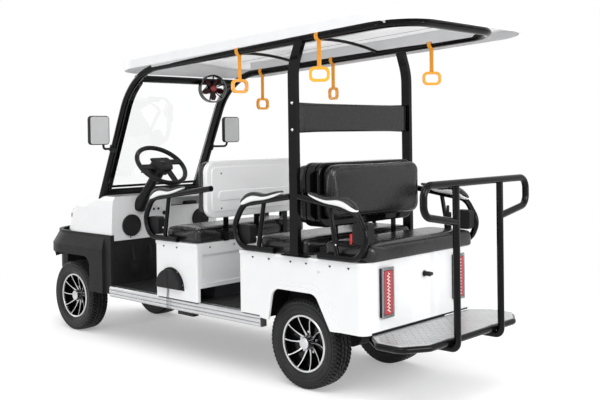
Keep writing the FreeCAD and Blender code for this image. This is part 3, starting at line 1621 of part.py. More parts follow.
def make_roof():
    """Moulded roof: a shell with a skirt, ribs underneath, laid along the roof tubes."""
    s = size
    shell = roof_form(0).cut(roof_form(s.roof_sheet))
    pivot = Vector(0, s.pillar_knee_y, s.pillar_knee_z)
    for side in (LEFT, RIGHT):
        middle = side * (knee_x + roof_tube_x) / 2
        seat = block(
            middle - s.roof_seat_width / 2, middle + s.roof_seat_width / 2,
            s.roof_front_y + s.roof_corner, s.roof_end_y - s.roof_corner,
            s.pillar_knee_z, s.pillar_knee_z + s.roof_skirt + s.roof_crown,
        )
        shell = fused(shell, seat.common(roof_form(s.roof_sheet / 2)))
    under_skin = roof_form(s.roof_sheet / 2).cut(roof_form(s.roof_sheet + s.roof_rib_depth))
    for step in range(-2, 3):
        middle = step * s.roof_rib_pitch
        rib = block(
            middle - s.roof_rib_width / 2, middle + s.roof_rib_width / 2,
            s.roof_front_y + s.roof_corner, s.roof_end_y - s.roof_corner,
            s.pillar_knee_z + s.roof_skirt / 2, s.pillar_knee_z + s.roof_skirt + s.roof_crown,
        )
        shell = fused(shell, rib.common(under_skin))
    shell.rotate(pivot, X_WAY, roof_slope_degrees)
    shell = shell.cut(canopy_tube(s.roof_tube_radius + s.seat_gap))
    for y in (s.bow_front_y, s.bow_rear_y):
        shell = shell.cut(roof_bow(y, s.bow_radius + s.seat_gap))
    for centre, drop, turn in grip_places():
        shell = shell.cut(sling_rod(centre, s.strap_width / 2 + s.moving_gap,
                                    s.roof_tube_radius + s.strap_thickness + 2 * s.seat_gap))
    sub_part("roof_canopy", shell)


# Steering

steering_lean = math.radians(size.steering_angle)
steering_up = Vector(0, math.cos(steering_lean), math.sin(steering_lean))
steering_x = pillar_x - size.steering_inset
steering_centre = Vector(steering_x, size.steering_wheel_y, size.steering_wheel_z)


def steering_rod(radius, start, end):
    """Round bar on the steering axis, measured downwards from the wheel's centre."""
    return rod(radius, steering_centre - steering_up * start, steering_centre - steering_up * end)


def make_steering():
    """Column with its shaft end, and the wheel that turns on it."""
    s = size
    hub_back = s.steering_hub_depth / 2
    column_start = hub_back + s.moving_gap
    column = steering_rod(s.column_radius, column_start, s.column_length)
    shaft = steering_rod(s.column_shaft_radius, hub_back - s.column_shaft_seat, s.column_length)
    collar = steering_rod(s.column_collar_radius, column_start, column_start + s.column_collar_length)
    boot_start, length = steering_centre - steering_up * s.column_boot_start, s.column_boot_length
    boot = Part.makeCone(s.column_radius, s.column_boot_radius, length, boot_start, -steering_up)
    reach = s.column_boot_radius + length
    behind_dash = block(
        boot_start.x - reach, boot_start.x + reach,
        boot_start.y - reach - length, s.dash_y + s.seat_gap,
        boot_start.z - 2 * reach, boot_start.z + reach,
    )
    sub_part("steering_column", fused(column, shaft, collar, boot.cut(behind_dash)))

    ring = bound("Part::Torus", "steering_ring", Radius1="Dims.steering_wheel_radius",
                 Radius2="Dims.steering_grip_radius")
    hub = bound("Part::Cylinder", "steering_hub", ("0", "0", "-Dims.steering_hub_depth / 2"),
                Radius="Dims.steering_hub_radius", Height="Dims.steering_hub_depth")
    half_top, half_bottom = "Dims.wheel_pad_top_width / 2", "Dims.wheel_pad_bottom_width / 2"
    corner = "Dims.wheel_pad_corner"
    right = [
        ("%s - %s" % (half_top, corner), "-Dims.wheel_pad_rise"),
        (half_top, "%s - Dims.wheel_pad_rise" % corner),
        (half_top, "0"),
        (half_bottom, "Dims.wheel_pad_fall - %s" % corner),
        ("%s - %s" % (half_bottom, corner), "Dims.wheel_pad_fall"),
    ]
    left = [("-(%s)" % across, up) for across, up in reversed(right)]
    pad = padded_body("steering_pad", "XY_Plane", right + left,
                      "Dims.steering_hub_depth", "-Dims.steering_hub_depth / 2")
    pieces = [ring, hub, pad]
    for index in range(3):
        turn = index * RIGHT_ANGLE
        spoke = bound("Part::Box", "steering_spoke_%d" % index,
                      Length="Dims.steering_wheel_radius",
                      Width="Dims.steering_spoke_width",
                      Height="Dims.steering_spoke_thickness")
        holder_turn = Rotation(Z_WAY, turn)
        offset = Vector(0, -s.steering_spoke_width / 2, -s.steering_spoke_thickness / 2)
        spoke.Placement = Placement(holder_turn.multVec(offset), holder_turn)
        pieces.append(spoke)
    whole = doc.addObject("Part::MultiFuse", "steering_solid")
    whole.Shapes = pieces
    bore = bound("Part::Cylinder", "steering_bore", ("0", "0", "-Dims.steering_hub_depth"),
                 Radius="Dims.column_shaft_radius + Dims.shaft_gap",
                 Height="Dims.steering_hub_depth / 2 + Dims.column_shaft_seat + Dims.shaft_gap")
    wheel = doc.addObject("Part::Cut", "steering_wheel")
    wheel.Base = whole
    wheel.Tool = bore
    wheel.Placement = Placement(steering_centre, Rotation(Z_WAY, steering_up))


# Cab fan

fan_way = Vector(math.sin(math.radians(size.fan_turn)), math.cos(math.radians(size.fan_turn)), 0)
fan_centre = Vector(size.fan_inset - pillar_x, size.fan_y, size.fan_z)


def fan_local(shape):
    """Moves a shape drawn round +Z at the origin to the fan."""
    shape = shape.copy()
    shape.Placement = Placement(fan_centre, Rotation(Z_WAY, fan_way)).multiply(shape.Placement)
    return shape


def make_fan():
    """Ring fan: shroud on spokes, motor and stem, and a rotor with pitched blades."""
    s = size
    half = s.fan_depth / 2
    inside = s.fan_ring_radius - s.fan_ring_wall
    low, high = Vector(0, 0, -half), Vector(0, 0, half)
    pieces = [rod(s.fan_ring_radius, low, high).cut(rod(inside, low, high))]
    for index in range(int(s.fan_spoke_count)):
        spoke = block(0, inside + s.fan_ring_wall / 2, -s.fan_spoke_width / 2, s.fan_spoke_width / 2,
                      -half, s.fan_spoke_width - half)
        spoke.rotate(Vector(), Z_WAY, index * FULL_TURN / s.fan_spoke_count)
        pieces.append(spoke)
    motor_low = -half - s.fan_motor_depth
    pieces.append(rod(s.fan_motor_radius, Vector(0, 0, motor_low), Vector(0, 0, s.fan_spoke_width - half)))
    shaft_top = half - s.moving_gap
    pieces.append(rod(s.fan_shaft_radius, Vector(0, 0, motor_low), Vector(0, 0, shaft_top)))
    cage = fan_local(fused(*pieces))
    back = fan_centre - fan_way * (half + s.fan_motor_depth / 2)
    stem = rod(s.fan_stem_radius, back, Vector(back.x, s.high_bar_y, s.high_bar_z))
    clear_bar = cross_bar(s.high_bar_z, s.roof_tube_radius, s.high_bar_y)
    reach = s.roof_tube_radius + s.overrun
    glass_room = block(back.x - reach, back.x + reach, s.high_bar_y - reach, s.high_bar_y + s.seat_gap,
                       s.high_bar_z - reach, s.high_bar_z + reach)
    sub_part("fan_guard", fused(cage, stem).cut(clear_bar).cut(glass_room))

    hub_low = s.fan_spoke_width - half + s.moving_gap
    hub_high = shaft_top + s.moving_gap
    blades = [rod(s.fan_hub_radius, Vector(0, 0, hub_low), Vector(0, 0, hub_high))]
    root, tip = s.fan_hub_radius / 2, s.fan_blade_reach
    half_root, half_tip = s.fan_blade_root_width / 2, s.fan_blade_width / 2
    form = [
        (root, half_root), (tip - half_tip, half_tip), (tip, half_tip / 2),
        (tip, -half_tip / 2), (tip - half_tip, -half_tip), (root, -half_root),
    ]
    for index in range(int(s.fan_blade_count)):
        outline_points = [Vector(along, across, -s.fan_blade_thickness / 2) for along, across in form]
        blade = prism(outline_points, Z_WAY * s.fan_blade_thickness)
        blade.rotate(Vector(), X_WAY, s.fan_blade_pitch)
        blade.translate(Vector(0, 0, (hub_low + hub_high) / 2))
        blade.rotate(Vector(), Z_WAY, index * FULL_TURN / s.fan_blade_count)
        blades.append(blade)
    bore = rod(s.fan_shaft_radius + s.shaft_gap, Vector(0, 0, hub_low - s.overrun),
               Vector(0, 0, shaft_top + s.seat_gap))
    sub_part("fan_rotor", fan_local(fused(*blades).cut(bore)))


# Mirrors

def make_mirrors():
    """Upright door mirrors on bent arms that are clamped to the front pillars."""
    s = size
    mirror_x = pillar_x + s.mirror_offset
    low, high = s.mirror_z - s.mirror_height / 2, s.mirror_z + s.mirror_height / 2
    half = s.mirror_width / 2
    case = rounded_slab(
        mirror_x - half, mirror_x + half, s.mirror_y - s.mirror_depth, s.mirror_y,
        low, high, -Y_WAY, s.mirror_corner, s.mirror_depth / 3,
    )
    share = (s.mirror_arm_z - s.pillar_base_z) / (s.pillar_knee_z - s.pillar_base_z)
    middle = canopy_points()[0] * (1 - share) + canopy_points()[1] * share
    elbow = Vector(mirror_x - half / 2, s.mirror_y - s.mirror_depth / 2, s.mirror_arm_z)
    top = Vector(elbow.x, elbow.y, low + s.mirror_corner)
    arm = tube([middle, elbow, top], s.mirror_arm_bend, s.mirror_arm_radius)
    along = (canopy_points()[1] - canopy_points()[0]).normalize() * (s.mirror_clamp_height / 2)
    clamp = rod(s.roof_tube_radius + s.mirror_clamp_wall, middle - along, middle + along)
    outside = block(middle.x, mirror_x, s.pillar_base_y, s.pillar_knee_y, s.pillar_base_z, s.pillar_knee_z)
    clear_tube = rod(s.roof_tube_radius + s.seat_gap, middle - along * 3, middle + along * 3)
    sub_part("mirrors", both_sides(fused(case, arm, clamp.common(outside)).cut(clear_tube)))


# Rear platform

def platform_corners(z):
    """Left half of the platform's outline, front to rear."""
    s = size
    return [
        Vector(plate_half_width - s.plate_front_inset, plate_front_y, z),
        Vector(plate_half_width, plate_front_y + s.plate_flare_run, z),
        Vector(plate_half_width, plate_front_y + s.plate_taper_run, z),
        Vector(plate_half_width - s.plate_rear_inset, plate_rear_y, z),
    ]


def make_platform():
    """Chequer plate on a bent tube carried by two arms from the chassis."""
    s = size
    tube_z = s.plate_z - s.seat_gap - s.platform_tube_radius
    left = platform_corners(s.plate_z)
    corners = left + [Vector(-point.x, point.y, point.z) for point in reversed(left)]
    sub_part("platform_plate", prism(corners, Vector(0, 0, s.plate_thickness)))
    left = platform_corners(tube_z)
    path = left + [Vector(-point.x, point.y, point.z) for point in reversed(left)]
    surround = tube(path, s.platform_bend, s.platform_tube_radius)
    arms = []
    for side in (LEFT, RIGHT):
        x = side * s.platform_arm_x
        half = s.platform_arm_width / 2
        arms.append(block(x - half, x + half, frame_rear_end_y, plate_rear_y,
                          tube_z - s.platform_tube_radius / 2, tube_z + s.platform_tube_radius / 2))
    front_bar = rod(s.platform_tube_radius, left[0], Vector(-left[0].x, left[0].y, tube_z))
    sub_part("platform_frame", fused(surround, front_bar, *arms))


def make_grab_rail():
    """Grab rail behind the platform: two uprights with feet under it and a looped top."""
    s = size
    radius = s.grab_upright_radius
    apart = s.platform_tube_radius + radius + s.seat_gap
    y = plate_rear_y + apart
    foot_z = s.plate_z - s.seat_gap - s.platform_tube_radius - apart
    pieces = []
    for side in (LEFT, RIGHT):
        x = side * s.grab_upright_x
        pieces.append(tube(
            [
                Vector(x, plate_rear_y - s.grab_foot_length, foot_z),
                Vector(x, y, foot_z),
                Vector(x, y, s.grab_top_z),
            ],
            apart, radius,
        ))
    loop = [
        Vector(s.grab_upright_x, y, s.grab_join_z),
        Vector(plate_half_width - s.grab_loop_inset, y, s.grab_loop_z),
        Vector(plate_half_width - s.grab_loop_inset, y, s.grab_top_z),
    ]
    loop += [Vector(-point.x, point.y, point.z) for point in reversed(loop)]
    pieces.append(tube(loop, s.grab_bend, s.grab_tube_radius))
    sub_part("grab_rail", fused(*pieces))


# Lamps and small fittings

def make_tail_lamps():
    """Tall tail lamps on the rear panel, each a lens standing out of its bezel."""
    s = size
    x = s.body_half_width - s.tail_lamp_inset
    start = s.rear_box_rear_y + s.seat_gap
    layers = []
    for inset, depth in ((0, s.tail_lamp_base), (s.tail_lamp_bezel, s.tail_lamp_depth)):
        half = s.tail_lamp_half_width - inset
        layer = block(x - half, x + half, start, start + depth,
                      s.tail_lamp_bottom_z + inset, s.tail_lamp_top_z - inset)
        layers.append(layer.makeFillet(s.tail_lamp_round - inset / 2, edges_along(layer, Y_WAY)))
    sub_part("tail_lamps", both_sides(fused(*layers)))


def make_fittings():
    """Speakers, charging cover, lock, and the filler between the two rear cushions."""
    s = size
    pieces = [block(
        -s.filler_half_width, s.filler_half_width,
        s.rear_bracket_y + s.seat_gap, s.rear_cushion_front_y - s.seat_gap,
        cushion_bottom_z, cushion_bottom_z + s.filler_height,
    )]
    speaker_x = cowl_half_width - s.speaker_inset
    for side in (LEFT, RIGHT):
        start = Vector(side * speaker_x, s.dash_y + s.seat_gap, s.speaker_z)
        pieces.append(rod(s.speaker_radius, start, start + Y_WAY * s.speaker_depth))
    side_x = s.body_half_width + s.seat_gap
    start = Vector(side_x, s.cover_y, s.cover_bottom_z)
    cover = rod(s.cover_radius, start, start + X_WAY * s.cover_depth)
    reach = s.cover_radius + s.overrun
    below = block(side_x - s.overrun, side_x + s.cover_depth + s.overrun,
                  s.cover_y - reach, s.cover_y + reach, s.cover_bottom_z - reach, s.cover_bottom_z)
    pieces.append(cover.cut(below))
    start = Vector(s.lock_x, s.rear_box_rear_y + s.seat_gap, s.lock_z)
    pieces.append(rod(s.lock_radius, start, start + Y_WAY * s.lock_reach))
    sub_part("covers_and_lock", Part.makeCompound(pieces))


def make_hanging_grips():
    """Webbing slings with looped handles, hung on the roof tubes."""
    s = size
    inner = s.roof_tube_radius + s.seat_gap
    half = s.strap_width / 2
    grips = []
    for centre, drop, turn in grip_places():
        low = centre.z - drop
        band = block(centre.x - s.strap_thickness, centre.x + s.strap_thickness,
                     centre.y - half, centre.y + half, low, centre.z - s.roof_tube_radius)
        sling = fused(sling_rod(centre, half, inner + s.strap_thickness), band)
        sling = sling.cut(sling_rod(centre, s.strap_width, inner))
        width, height, thick = s.grip_half_width, s.grip_half_height, s.grip_wire
        handle = block(-thick, thick, -width, width, -height, height)
        handle = handle.makeFillet(s.grip_round, edges_along(handle, X_WAY))
        hole = block(-2 * thick, 2 * thick, 2 * thick - width, width - 2 * thick,
                     2 * thick - height, height - 2 * thick)
        hole = hole.makeFillet(s.grip_hole_round, edges_along(hole, X_WAY))
        handle = handle.cut(hole)
        handle.rotate(Vector(), Z_WAY, turn)
        handle.translate(Vector(centre.x, centre.y, low - height + thick))
        grips.append(fused(sling, handle))
    sub_part("hanging_grips", Part.makeCompound(grips))


def make_battery():
    """Battery pack on the floor under the front seat, one plain block."""
    bound(
        "Part::Box", "battery_pack",
        ("-Dims.battery_half_width",
         "(Dims.front_box_front_y + Dims.front_box_rear_y - Dims.battery_length) / 2",
         "Dims.rail_bottom_z + Dims.rail_height + Dims.floor_rise + Dims.seat_gap"),
        Length="2 * Dims.battery_half_width", Width="Dims.battery_length", Height="Dims.battery_height",
    )


def make_pedals():
    """Brake and accelerator pedals on arms from the bulkhead."""
    s = size
    pedals = []
    for x in (s.brake_x, s.throttle_x):
        pad = block(x - s.pedal_width / 2, x + s.pedal_width / 2, s.pedal_y, s.pedal_y + s.pedal_thickness,
                    s.pedal_z, s.pedal_z + s.pedal_height)
        arm_top = Vector(x, s.bulkhead_y + s.seat_gap, s.pedal_z + 2 * s.pedal_height)
        middle = Vector(x, s.pedal_y + s.pedal_thickness / 2, s.pedal_z + s.pedal_height / 2)
        arm = rod(s.pedal_thickness, arm_top, middle)
        wall = block(x - s.pedal_width, x + s.pedal_width,
                     s.bulkhead_y - s.overrun, s.bulkhead_y + s.seat_gap,
                     s.pedal_z, s.pedal_z + 3 * s.pedal_height)
        pedals.append(fused(pad, arm).cut(wall))
    sub_part("pedals", Part.makeCompound(pedals))


def sub_part_objects():
    """Finished pieces, by the name of the file each is written to."""
    return {name: doc.getObject(name) for name in NODES}


NODES = (
    "chassis_frame", "floor_pan", "side_rails", "front_skirt", "front_cowl", "dashboard", "headlamps",
    "front_seat_box", "rear_body", "arch_liners", "battery_pack",
    "front_cushion", "mid_cushion", "rear_cushion", "backrest_pads", "backrest_shells",
    "backrest_brackets", "armrest_frames", "armrest_pads", "belt_units",
    "canopy_frame", "rear_pillars", "head_panel", "roof_canopy", "windscreen", "mirrors",
    "hanging_grips", "fan_guard", "fan_rotor", "steering_column", "steering_wheel", "pedals",
    "platform_plate", "platform_frame", "grab_rail", "tail_lamps", "covers_and_lock",
    "front_axle", "left_knuckle", "right_knuckle", "rear_axle", "leaf_springs",
    "front_left_tyre", "front_left_rim", "front_right_tyre", "front_right_rim",
    "rear_left_tyre", "rear_left_rim", "rear_right_tyre", "rear_right_rim",
)

make_wheels()
make_knuckles()
make_front_axle()
make_rear_axle()
make_leaf_springs()
make_chassis()
make_side_rails()
make_floor()
make_front_seat_box()
make_rear_body()
make_arch_liners()
make_front_skirt()
make_cowl()
make_dashboard()
make_headlamps()
make_cushions()
make_backrests()
make_backrest_brackets()
make_armrests()
make_belt_units()
make_canopy_frame()
make_windscreen()
make_rear_pillars()
make_head_panel()
make_roof()
make_steering()
make_fan()
make_mirrors()
make_platform()
make_grab_rail()
make_tail_lamps()
make_fittings()
make_hanging_grips()
make_battery()
make_pedals()
doc.recompute()

for item in doc.Objects:
    if "Invalid" in item.State or "Error" in item.State:
        raise RuntimeError("%s did not build: %s" % (item.Name, item.State))
for label, item in sub_part_objects().items():
    if item is None or item.Shape.isNull() or not item.Shape.isValid():
        raise RuntimeError("%s has no valid shape" % label)

os.makedirs("parts", exist_ok=True)
for label, item in sub_part_objects().items():
    item.Shape.exportStep(os.path.join("parts", label + ".step"))
    solids = item.Shape.Solids
    print("%-18s %2d solids %9.0f cm3" % (label, len(solids), item.Shape.Volume / CM3))
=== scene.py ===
import math

import bmesh
import bpy
from mathutils import Matrix, Vector
from mathutils.bvhtree import BVHTree


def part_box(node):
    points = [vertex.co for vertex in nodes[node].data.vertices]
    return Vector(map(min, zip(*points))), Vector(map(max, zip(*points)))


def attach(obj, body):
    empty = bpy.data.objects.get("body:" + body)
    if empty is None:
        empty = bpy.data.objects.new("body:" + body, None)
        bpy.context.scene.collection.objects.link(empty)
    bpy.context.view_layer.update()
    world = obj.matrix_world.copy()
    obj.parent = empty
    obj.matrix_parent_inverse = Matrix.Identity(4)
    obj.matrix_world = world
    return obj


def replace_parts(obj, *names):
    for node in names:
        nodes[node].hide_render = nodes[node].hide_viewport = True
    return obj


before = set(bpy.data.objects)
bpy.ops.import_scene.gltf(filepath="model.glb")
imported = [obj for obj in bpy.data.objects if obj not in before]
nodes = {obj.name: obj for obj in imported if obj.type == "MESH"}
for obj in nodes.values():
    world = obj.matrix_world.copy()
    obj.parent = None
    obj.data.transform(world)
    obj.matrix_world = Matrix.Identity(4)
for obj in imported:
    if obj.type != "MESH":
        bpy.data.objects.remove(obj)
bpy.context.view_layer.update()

# Golf cart: materials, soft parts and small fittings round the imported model, in metres.
# +X is the cart's left side, -Y its front, +Z up.

MM = 0.001
SIDES = (1, -1)
SIDE_NAMES = {1: "left", -1: "right"}
X_WAY, Y_WAY, Z_WAY = Vector((1, 0, 0)), Vector((0, 1, 0)), Vector((0, 0, 1))


def low(node):
    """Lowest corner of a node."""
    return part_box(node)[0]


def high(node):
    """Highest corner of a node."""
    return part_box(node)[1]


# Materials

PURE_WHITE = (1.0, 1.0, 1.0, 1.0)
# how many times each texture repeats in a metre
WAVE_SCALE, GLOSS_SCALE, BLOTCH_SCALE = 7, 38, 11
BRUSH_ALONG, BRUSH_ACROSS, PATCH_SCALE = 6, 900, 9
SMEAR_SCALE, CLOUD_SCALE = 5, 3


def add(made, kind, inputs=None, **fields):
    """Node of a material or of the world, its inputs set or linked."""
    node = made.node_tree.nodes.new(kind)
    for field, setting in fields.items():
        setattr(node, field, setting)
    for name, setting in (inputs or {}).items():
        if isinstance(setting, bpy.types.NodeSocket):
            made.node_tree.links.new(setting, node.inputs[name])
        else:
            node.inputs[name].default_value = setting
    return node


def shader_of(made):
    """The material's shader node."""
    return made.node_tree.nodes["Principled BSDF"]


def new_material(name, **settings):
    """Material with one shader, its plain numbers on the shader's own sockets."""
    made = bpy.data.materials.new(name)
    made.use_nodes = True
    for socket, setting in settings.items():
        shader_of(made).inputs[socket.replace("_", " ")].default_value = setting
    return made


def plug(made, socket, output):
    """Links an output to the shader."""
    made.node_tree.links.new(output, shader_of(made).inputs[socket])


def shape_coordinates(made):
    """Coordinates that stay with the object."""
    return add(made, "ShaderNodeTexCoord").outputs["Object"]


def stretched(made, scale):
    """The object's coordinates, scaled along each way."""
    inputs = {"Vector": shape_coordinates(made), "Scale": scale}
    return add(made, "ShaderNodeMapping", inputs).outputs["Vector"]


def part_of_vector(made, vector, axis):
    """One part of a coordinate or direction."""
    return add(made, "ShaderNodeSeparateXYZ", {"Vector": vector}).outputs[axis]


def noise(made, scale, detail, vector=None):
    """Fractal noise from 0 to 1."""
    inputs = {"Scale": scale, "Detail": detail, "Vector": vector or shape_coordinates(made)}
    return add(made, "ShaderNodeTexNoise", inputs).outputs["Fac"]


def remap(made, source, low_out, high_out, low_in=0.3, high_in=0.7):
    """Linear change of a value, clamped."""
    inputs = {"Value": source, "From Min": low_in, "From Max": high_in,
              "To Min": low_out, "To Max": high_out}
    return add(made, "ShaderNodeMapRange", inputs).outputs["Result"]


def colour_mix(made, factor, first, second):
    """Mix of two colours."""
    return add(made, "ShaderNodeMix", {0: factor, 6: first, 7: second}, data_type="RGBA").outputs[2]


def maths(made, operation, first, second=0.0):
    """One sum on two values."""
    return add(made, "ShaderNodeMath", {0: first, 1: second}, operation=operation).outputs["Value"]


def bump(made, height, distance, strength, normal=None):
    """Bump from a height, its depth in metres."""
    inputs = {"Height": height, "Distance": distance, "Strength": strength}
    if normal:
        inputs["Normal"] = normal
    return add(made, "ShaderNodeBump", inputs).outputs["Normal"]


def shade(colour, factor=1.0):
    """The colour, lighter or darker."""
    return tuple(min(1.0, part * factor) for part in colour) + (1.0,)


def finish(name, colour, roughness, swing, grain, depth, mottle, specular=0.5, cells=False, **settings):
    """Material with fine grain (per metre, and its depth in mm), uneven gloss and mottled colour."""
    made = new_material(name, Specular_IOR_Level=specular, **settings)
    if cells:
        texture = add(made, "ShaderNodeTexVoronoi", {"Vector": shape_coordinates(made), "Scale": grain},
                      feature="DISTANCE_TO_EDGE")
        height = remap(made, texture.outputs["Distance"], 0.0, 1.0, 0.0, 0.35)
    else:
        height = noise(made, grain, 3)
    broad = bump(made, noise(made, WAVE_SCALE, 2), depth * MM * 8, 0.4)
    plug(made, "Normal", bump(made, height, depth * MM, 0.7, broad))
    gloss = noise(made, GLOSS_SCALE, 5)
    plug(made, "Roughness", remap(made, gloss, roughness - swing, roughness + swing))
    blotch = remap(made, noise(made, BLOTCH_SCALE, 6), 0.0, 1.0)
    plug(made, "Base Color", colour_mix(made, blotch, shade(colour, 1 - mottle), shade(colour, 1 + mottle)))
    return made


def brushed_metal(name, colour, roughness, along):
    """Aluminium with fine lines along one way."""
    made = new_material(name, Metallic=1.0)
    scale = tuple(BRUSH_ALONG if part else BRUSH_ACROSS for part in along)
    lines = noise(made, 1, 4, stretched(made, scale))
    plug(made, "Normal", bump(made, lines, 0.05 * MM, 0.6))
    plug(made, "Roughness", remap(made, lines, roughness - 0.08, roughness + 0.12))
    patch = remap(made, noise(made, PATCH_SCALE, 5), 0.0, 1.0)
    plug(made, "Base Color", colour_mix(made, patch, shade(colour, 0.88), shade(colour)))
    return made


def clear_sheet(name, colour, roughness):
    """Clear plastic with faint smears."""
    made = new_material(name, Transmission_Weight=1.0, IOR=1.45)
    plug(made, "Roughness", remap(made, noise(made, SMEAR_SCALE, 6), roughness, roughness + 0.04))
    cloud = remap(made, noise(made, CLOUD_SCALE, 4), 0.0, 1.0)
    plug(made, "Base Color", colour_mix(made, cloud, shade(colour, 0.985), shade(colour)))
    return made


# name, colour, roughness and its swing, grain and its depth, mottling, specular level
gel_white = finish("gel_white", (0.815, 0.82, 0.828), 0.17, 0.05, 900, 0.02, 0.012,
                   Coat_Weight=0.3, Coat_Roughness=0.06)
roof_white = finish("roof_white", (0.73, 0.735, 0.745), 0.36, 0.07, 420, 0.10, 0.02)
skirt_black = finish("skirt_black", (0.020, 0.020, 0.0215), 0.40, 0.07, 1500, 0.05, 0.15, 0.08)
tube_black = finish("tube_black", (0.003, 0.003, 0.0034), 0.10, 0.03, 260, 0.015, 0.1, 0.16)
gloss_black = finish("gloss_black", (0.003, 0.003, 0.0034), 0.08, 0.02, 500, 0.01, 0.1, 0.2)
frame_black = finish("frame_black", (0.012, 0.012, 0.012), 0.55, 0.12, 300, 0.20, 0.3, 0.2)
vinyl = finish("vinyl", (0.011, 0.011, 0.0115), 0.25, 0.04, 700, 0.004, 0.05, 0.4)
dark_rubber = finish("dark_rubber", (0.008, 0.008, 0.008), 0.5, 0.08, 800, 0.10, 0.2, 0.2)
tyre_rubber = finish("tyre_rubber", (0.019, 0.019, 0.0195), 0.40, 0.07, 600, 0.08, 0.2, 0.18)
mat_black = finish("mat_black", (0.014, 0.014, 0.0145), 0.6, 0.08, 380, 0.35, 0.15, 0.2, cells=True)
# the mirrors' glass is a plain light grey: a painted reflection
mirror_painted_reflection = finish("mirror_painted_reflection", (0.52, 0.525, 0.53), 0.10, 0.03, 300, 0.01, 0.03)
button_red = finish("button_red", (0.60, 0.02, 0.015), 0.3, 0.05, 400, 0.05, 0.08)
led_white = finish("led_white", (0.75, 0.74, 0.74), 0.2, 0.05, 500, 0.05, 0.04)
grip_orange = finish("grip_orange", (0.98, 0.39, 0.022), 0.32, 0.06, 500, 0.08, 0.06)
battery_case = finish("battery_case", (0.02, 0.02, 0.025), 0.5, 0.08, 500, 0.1, 0.1)
fan_red = finish("fan_red", (0.030, 0.005, 0.005), 0.3, 0.06, 400, 0.05, 0.15, 0.25)
hub_red = finish("hub_red", (0.30, 0.012, 0.016), 0.3, 0.06, 400, 0.05, 0.12)

BEZEL_GREY = (0.30, 0.30, 0.31)
rail_metal = brushed_metal("rail_metal", (0.60, 0.605, 0.615), 0.34, Y_WAY)
plate_metal = brushed_metal("plate_metal", (0.62, 0.625, 0.63), 0.36, X_WAY)
screw_metal = brushed_metal("screw_metal", (0.60, 0.60, 0.61), 0.25, Z_WAY)
bezel_metal = brushed_metal("bezel_metal", BEZEL_GREY, 0.24, Z_WAY)
rim_bright = brushed_metal("rim_bright", (0.62, 0.62, 0.63), 0.30, X_WAY)
screen_clear = clear_sheet("screen_clear", (0.985, 0.992, 0.99), 0.0)
lens_clear = clear_sheet("lens_clear", (0.97, 0.98, 0.98), 0.02)


def two_tone(name, axis, limit, first, second, scale, smoothest, roughest, **settings):
    """Material that changes colour where the distance from the middle along an axis passes a limit."""
    made = new_material(name, **settings)
    away = maths(made, "ABSOLUTE", part_of_vector(made, shape_coordinates(made), axis))
    passed = maths(made, "GREATER_THAN", away, limit)
    plug(made, "Base Color", colour_mix(made, passed, shade(first), shade(second)))
    plug(made, "Normal", bump(made, noise(made, 500, 3), 0.05 * MM, 0.6))
    plug(made, "Roughness", remap(made, noise(made, scale, 4), smoothest, roughest))
    return made, passed


def tail_lamp_finish():
    """Red lens in front of a bright bezel."""
    lens_y = 1.5302
    made, lens = two_tone("lamp_finish", "Y", lens_y, BEZEL_GREY, (0.44, 0.014, 0.024), 60, 0.18, 0.30,
                          Coat_Weight=0.5)
    plug(made, "Metallic", remap(made, lens, 0.85, 0.0, 0.0, 1.0))
    return made


def arch_liner_finish():
    """Black inside, grey at the strip beside the body."""
    strip_x = 0.452
    return two_tone("liner_finish", "X", strip_x, (0.006, 0.006, 0.007), (0.42, 0.42, 0.43),
                    80, 0.45, 0.62)[0]


def paint_underside_glow(made, level, swing):
    """Painted light: a pale glow on the faces that look down, in place of light through the canopy, uneven
    along folds.
    """
    normal = add(made, "ShaderNodeNewGeometry").outputs["Normal"]
    folds = noise(made, 1, 3, stretched(made, (9.0, 1.6, 1.0)))
    glow = remap(made, folds, level - swing, level + swing)
    under = remap(made, part_of_vector(made, normal, "Z"), 1.0, 0.0, -0.8, -0.3)
    plug(made, "Emission Strength", maths(made, "MULTIPLY", glow, under))
    shader_of(made).inputs["Emission Color"].default_value = PURE_WHITE


# painted light: the canopy's underside glows white
paint_underside_glow(roof_white, 0.34, 0.12)


def dress(material, *names):
    """Gives CAD nodes their material."""
    for name in names:
        data = nodes[name].data
        data.materials.clear()
        data.materials.append(material)


dress(gel_white, "front_cowl", "dashboard", "front_seat_box", "rear_body")
dress(roof_white, "roof_canopy")
dress(skirt_black, "front_skirt", "belt_units", "mirrors", "covers_and_lock")
dress(mat_black, "floor_pan")
dress(arch_liner_finish(), "arch_liners")
dress(tube_black, "armrest_frames", "canopy_frame", "rear_pillars", "platform_frame", "grab_rail",
      "fan_guard", "backrest_brackets")
dress(fan_red, "fan_rotor")
dress(gloss_black, "backrest_shells", "armrest_pads")
dress(dark_rubber, "steering_wheel", "steering_column")
dress(frame_black, "chassis_frame", "front_axle", "left_knuckle", "right_knuckle", "rear_axle",
      "leaf_springs", "pedals")
dress(rail_metal, "side_rails")
dress(plate_metal, "platform_plate")
dress(vinyl, "front_cushion", "mid_cushion", "rear_cushion", "backrest_pads", "head_panel")
dress(screen_clear, "windscreen")
dress(lens_clear, "headlamps")
dress(tail_lamp_finish(), "tail_lamps")
dress(grip_orange, "hanging_grips")
dress(battery_case, "battery_pack")


# Shapes

def bring_in(name, data, material, body):
    """Object of one material that rides on a body of the cart."""
    data.materials.append(material)
    piece = bpy.data.objects.new(name, data)
    bpy.context.scene.collection.objects.link(piece)
    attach(piece, body)
    return piece


def new_piece(name, mesh, material, body="chassis", crisp=40):
    """Smooth shape; edges sharper than an angle in degrees stay crisp, unless it is zero."""
    data = bpy.data.meshes.new(name)
    bmesh.ops.recalc_face_normals(mesh, faces=mesh.faces)
    mesh.to_mesh(data)
    mesh.free()
    data.shade_smooth()
    if crisp:
        data.set_sharp_from_angle(angle=math.radians(crisp))
    return bring_in(name, data, material, body)


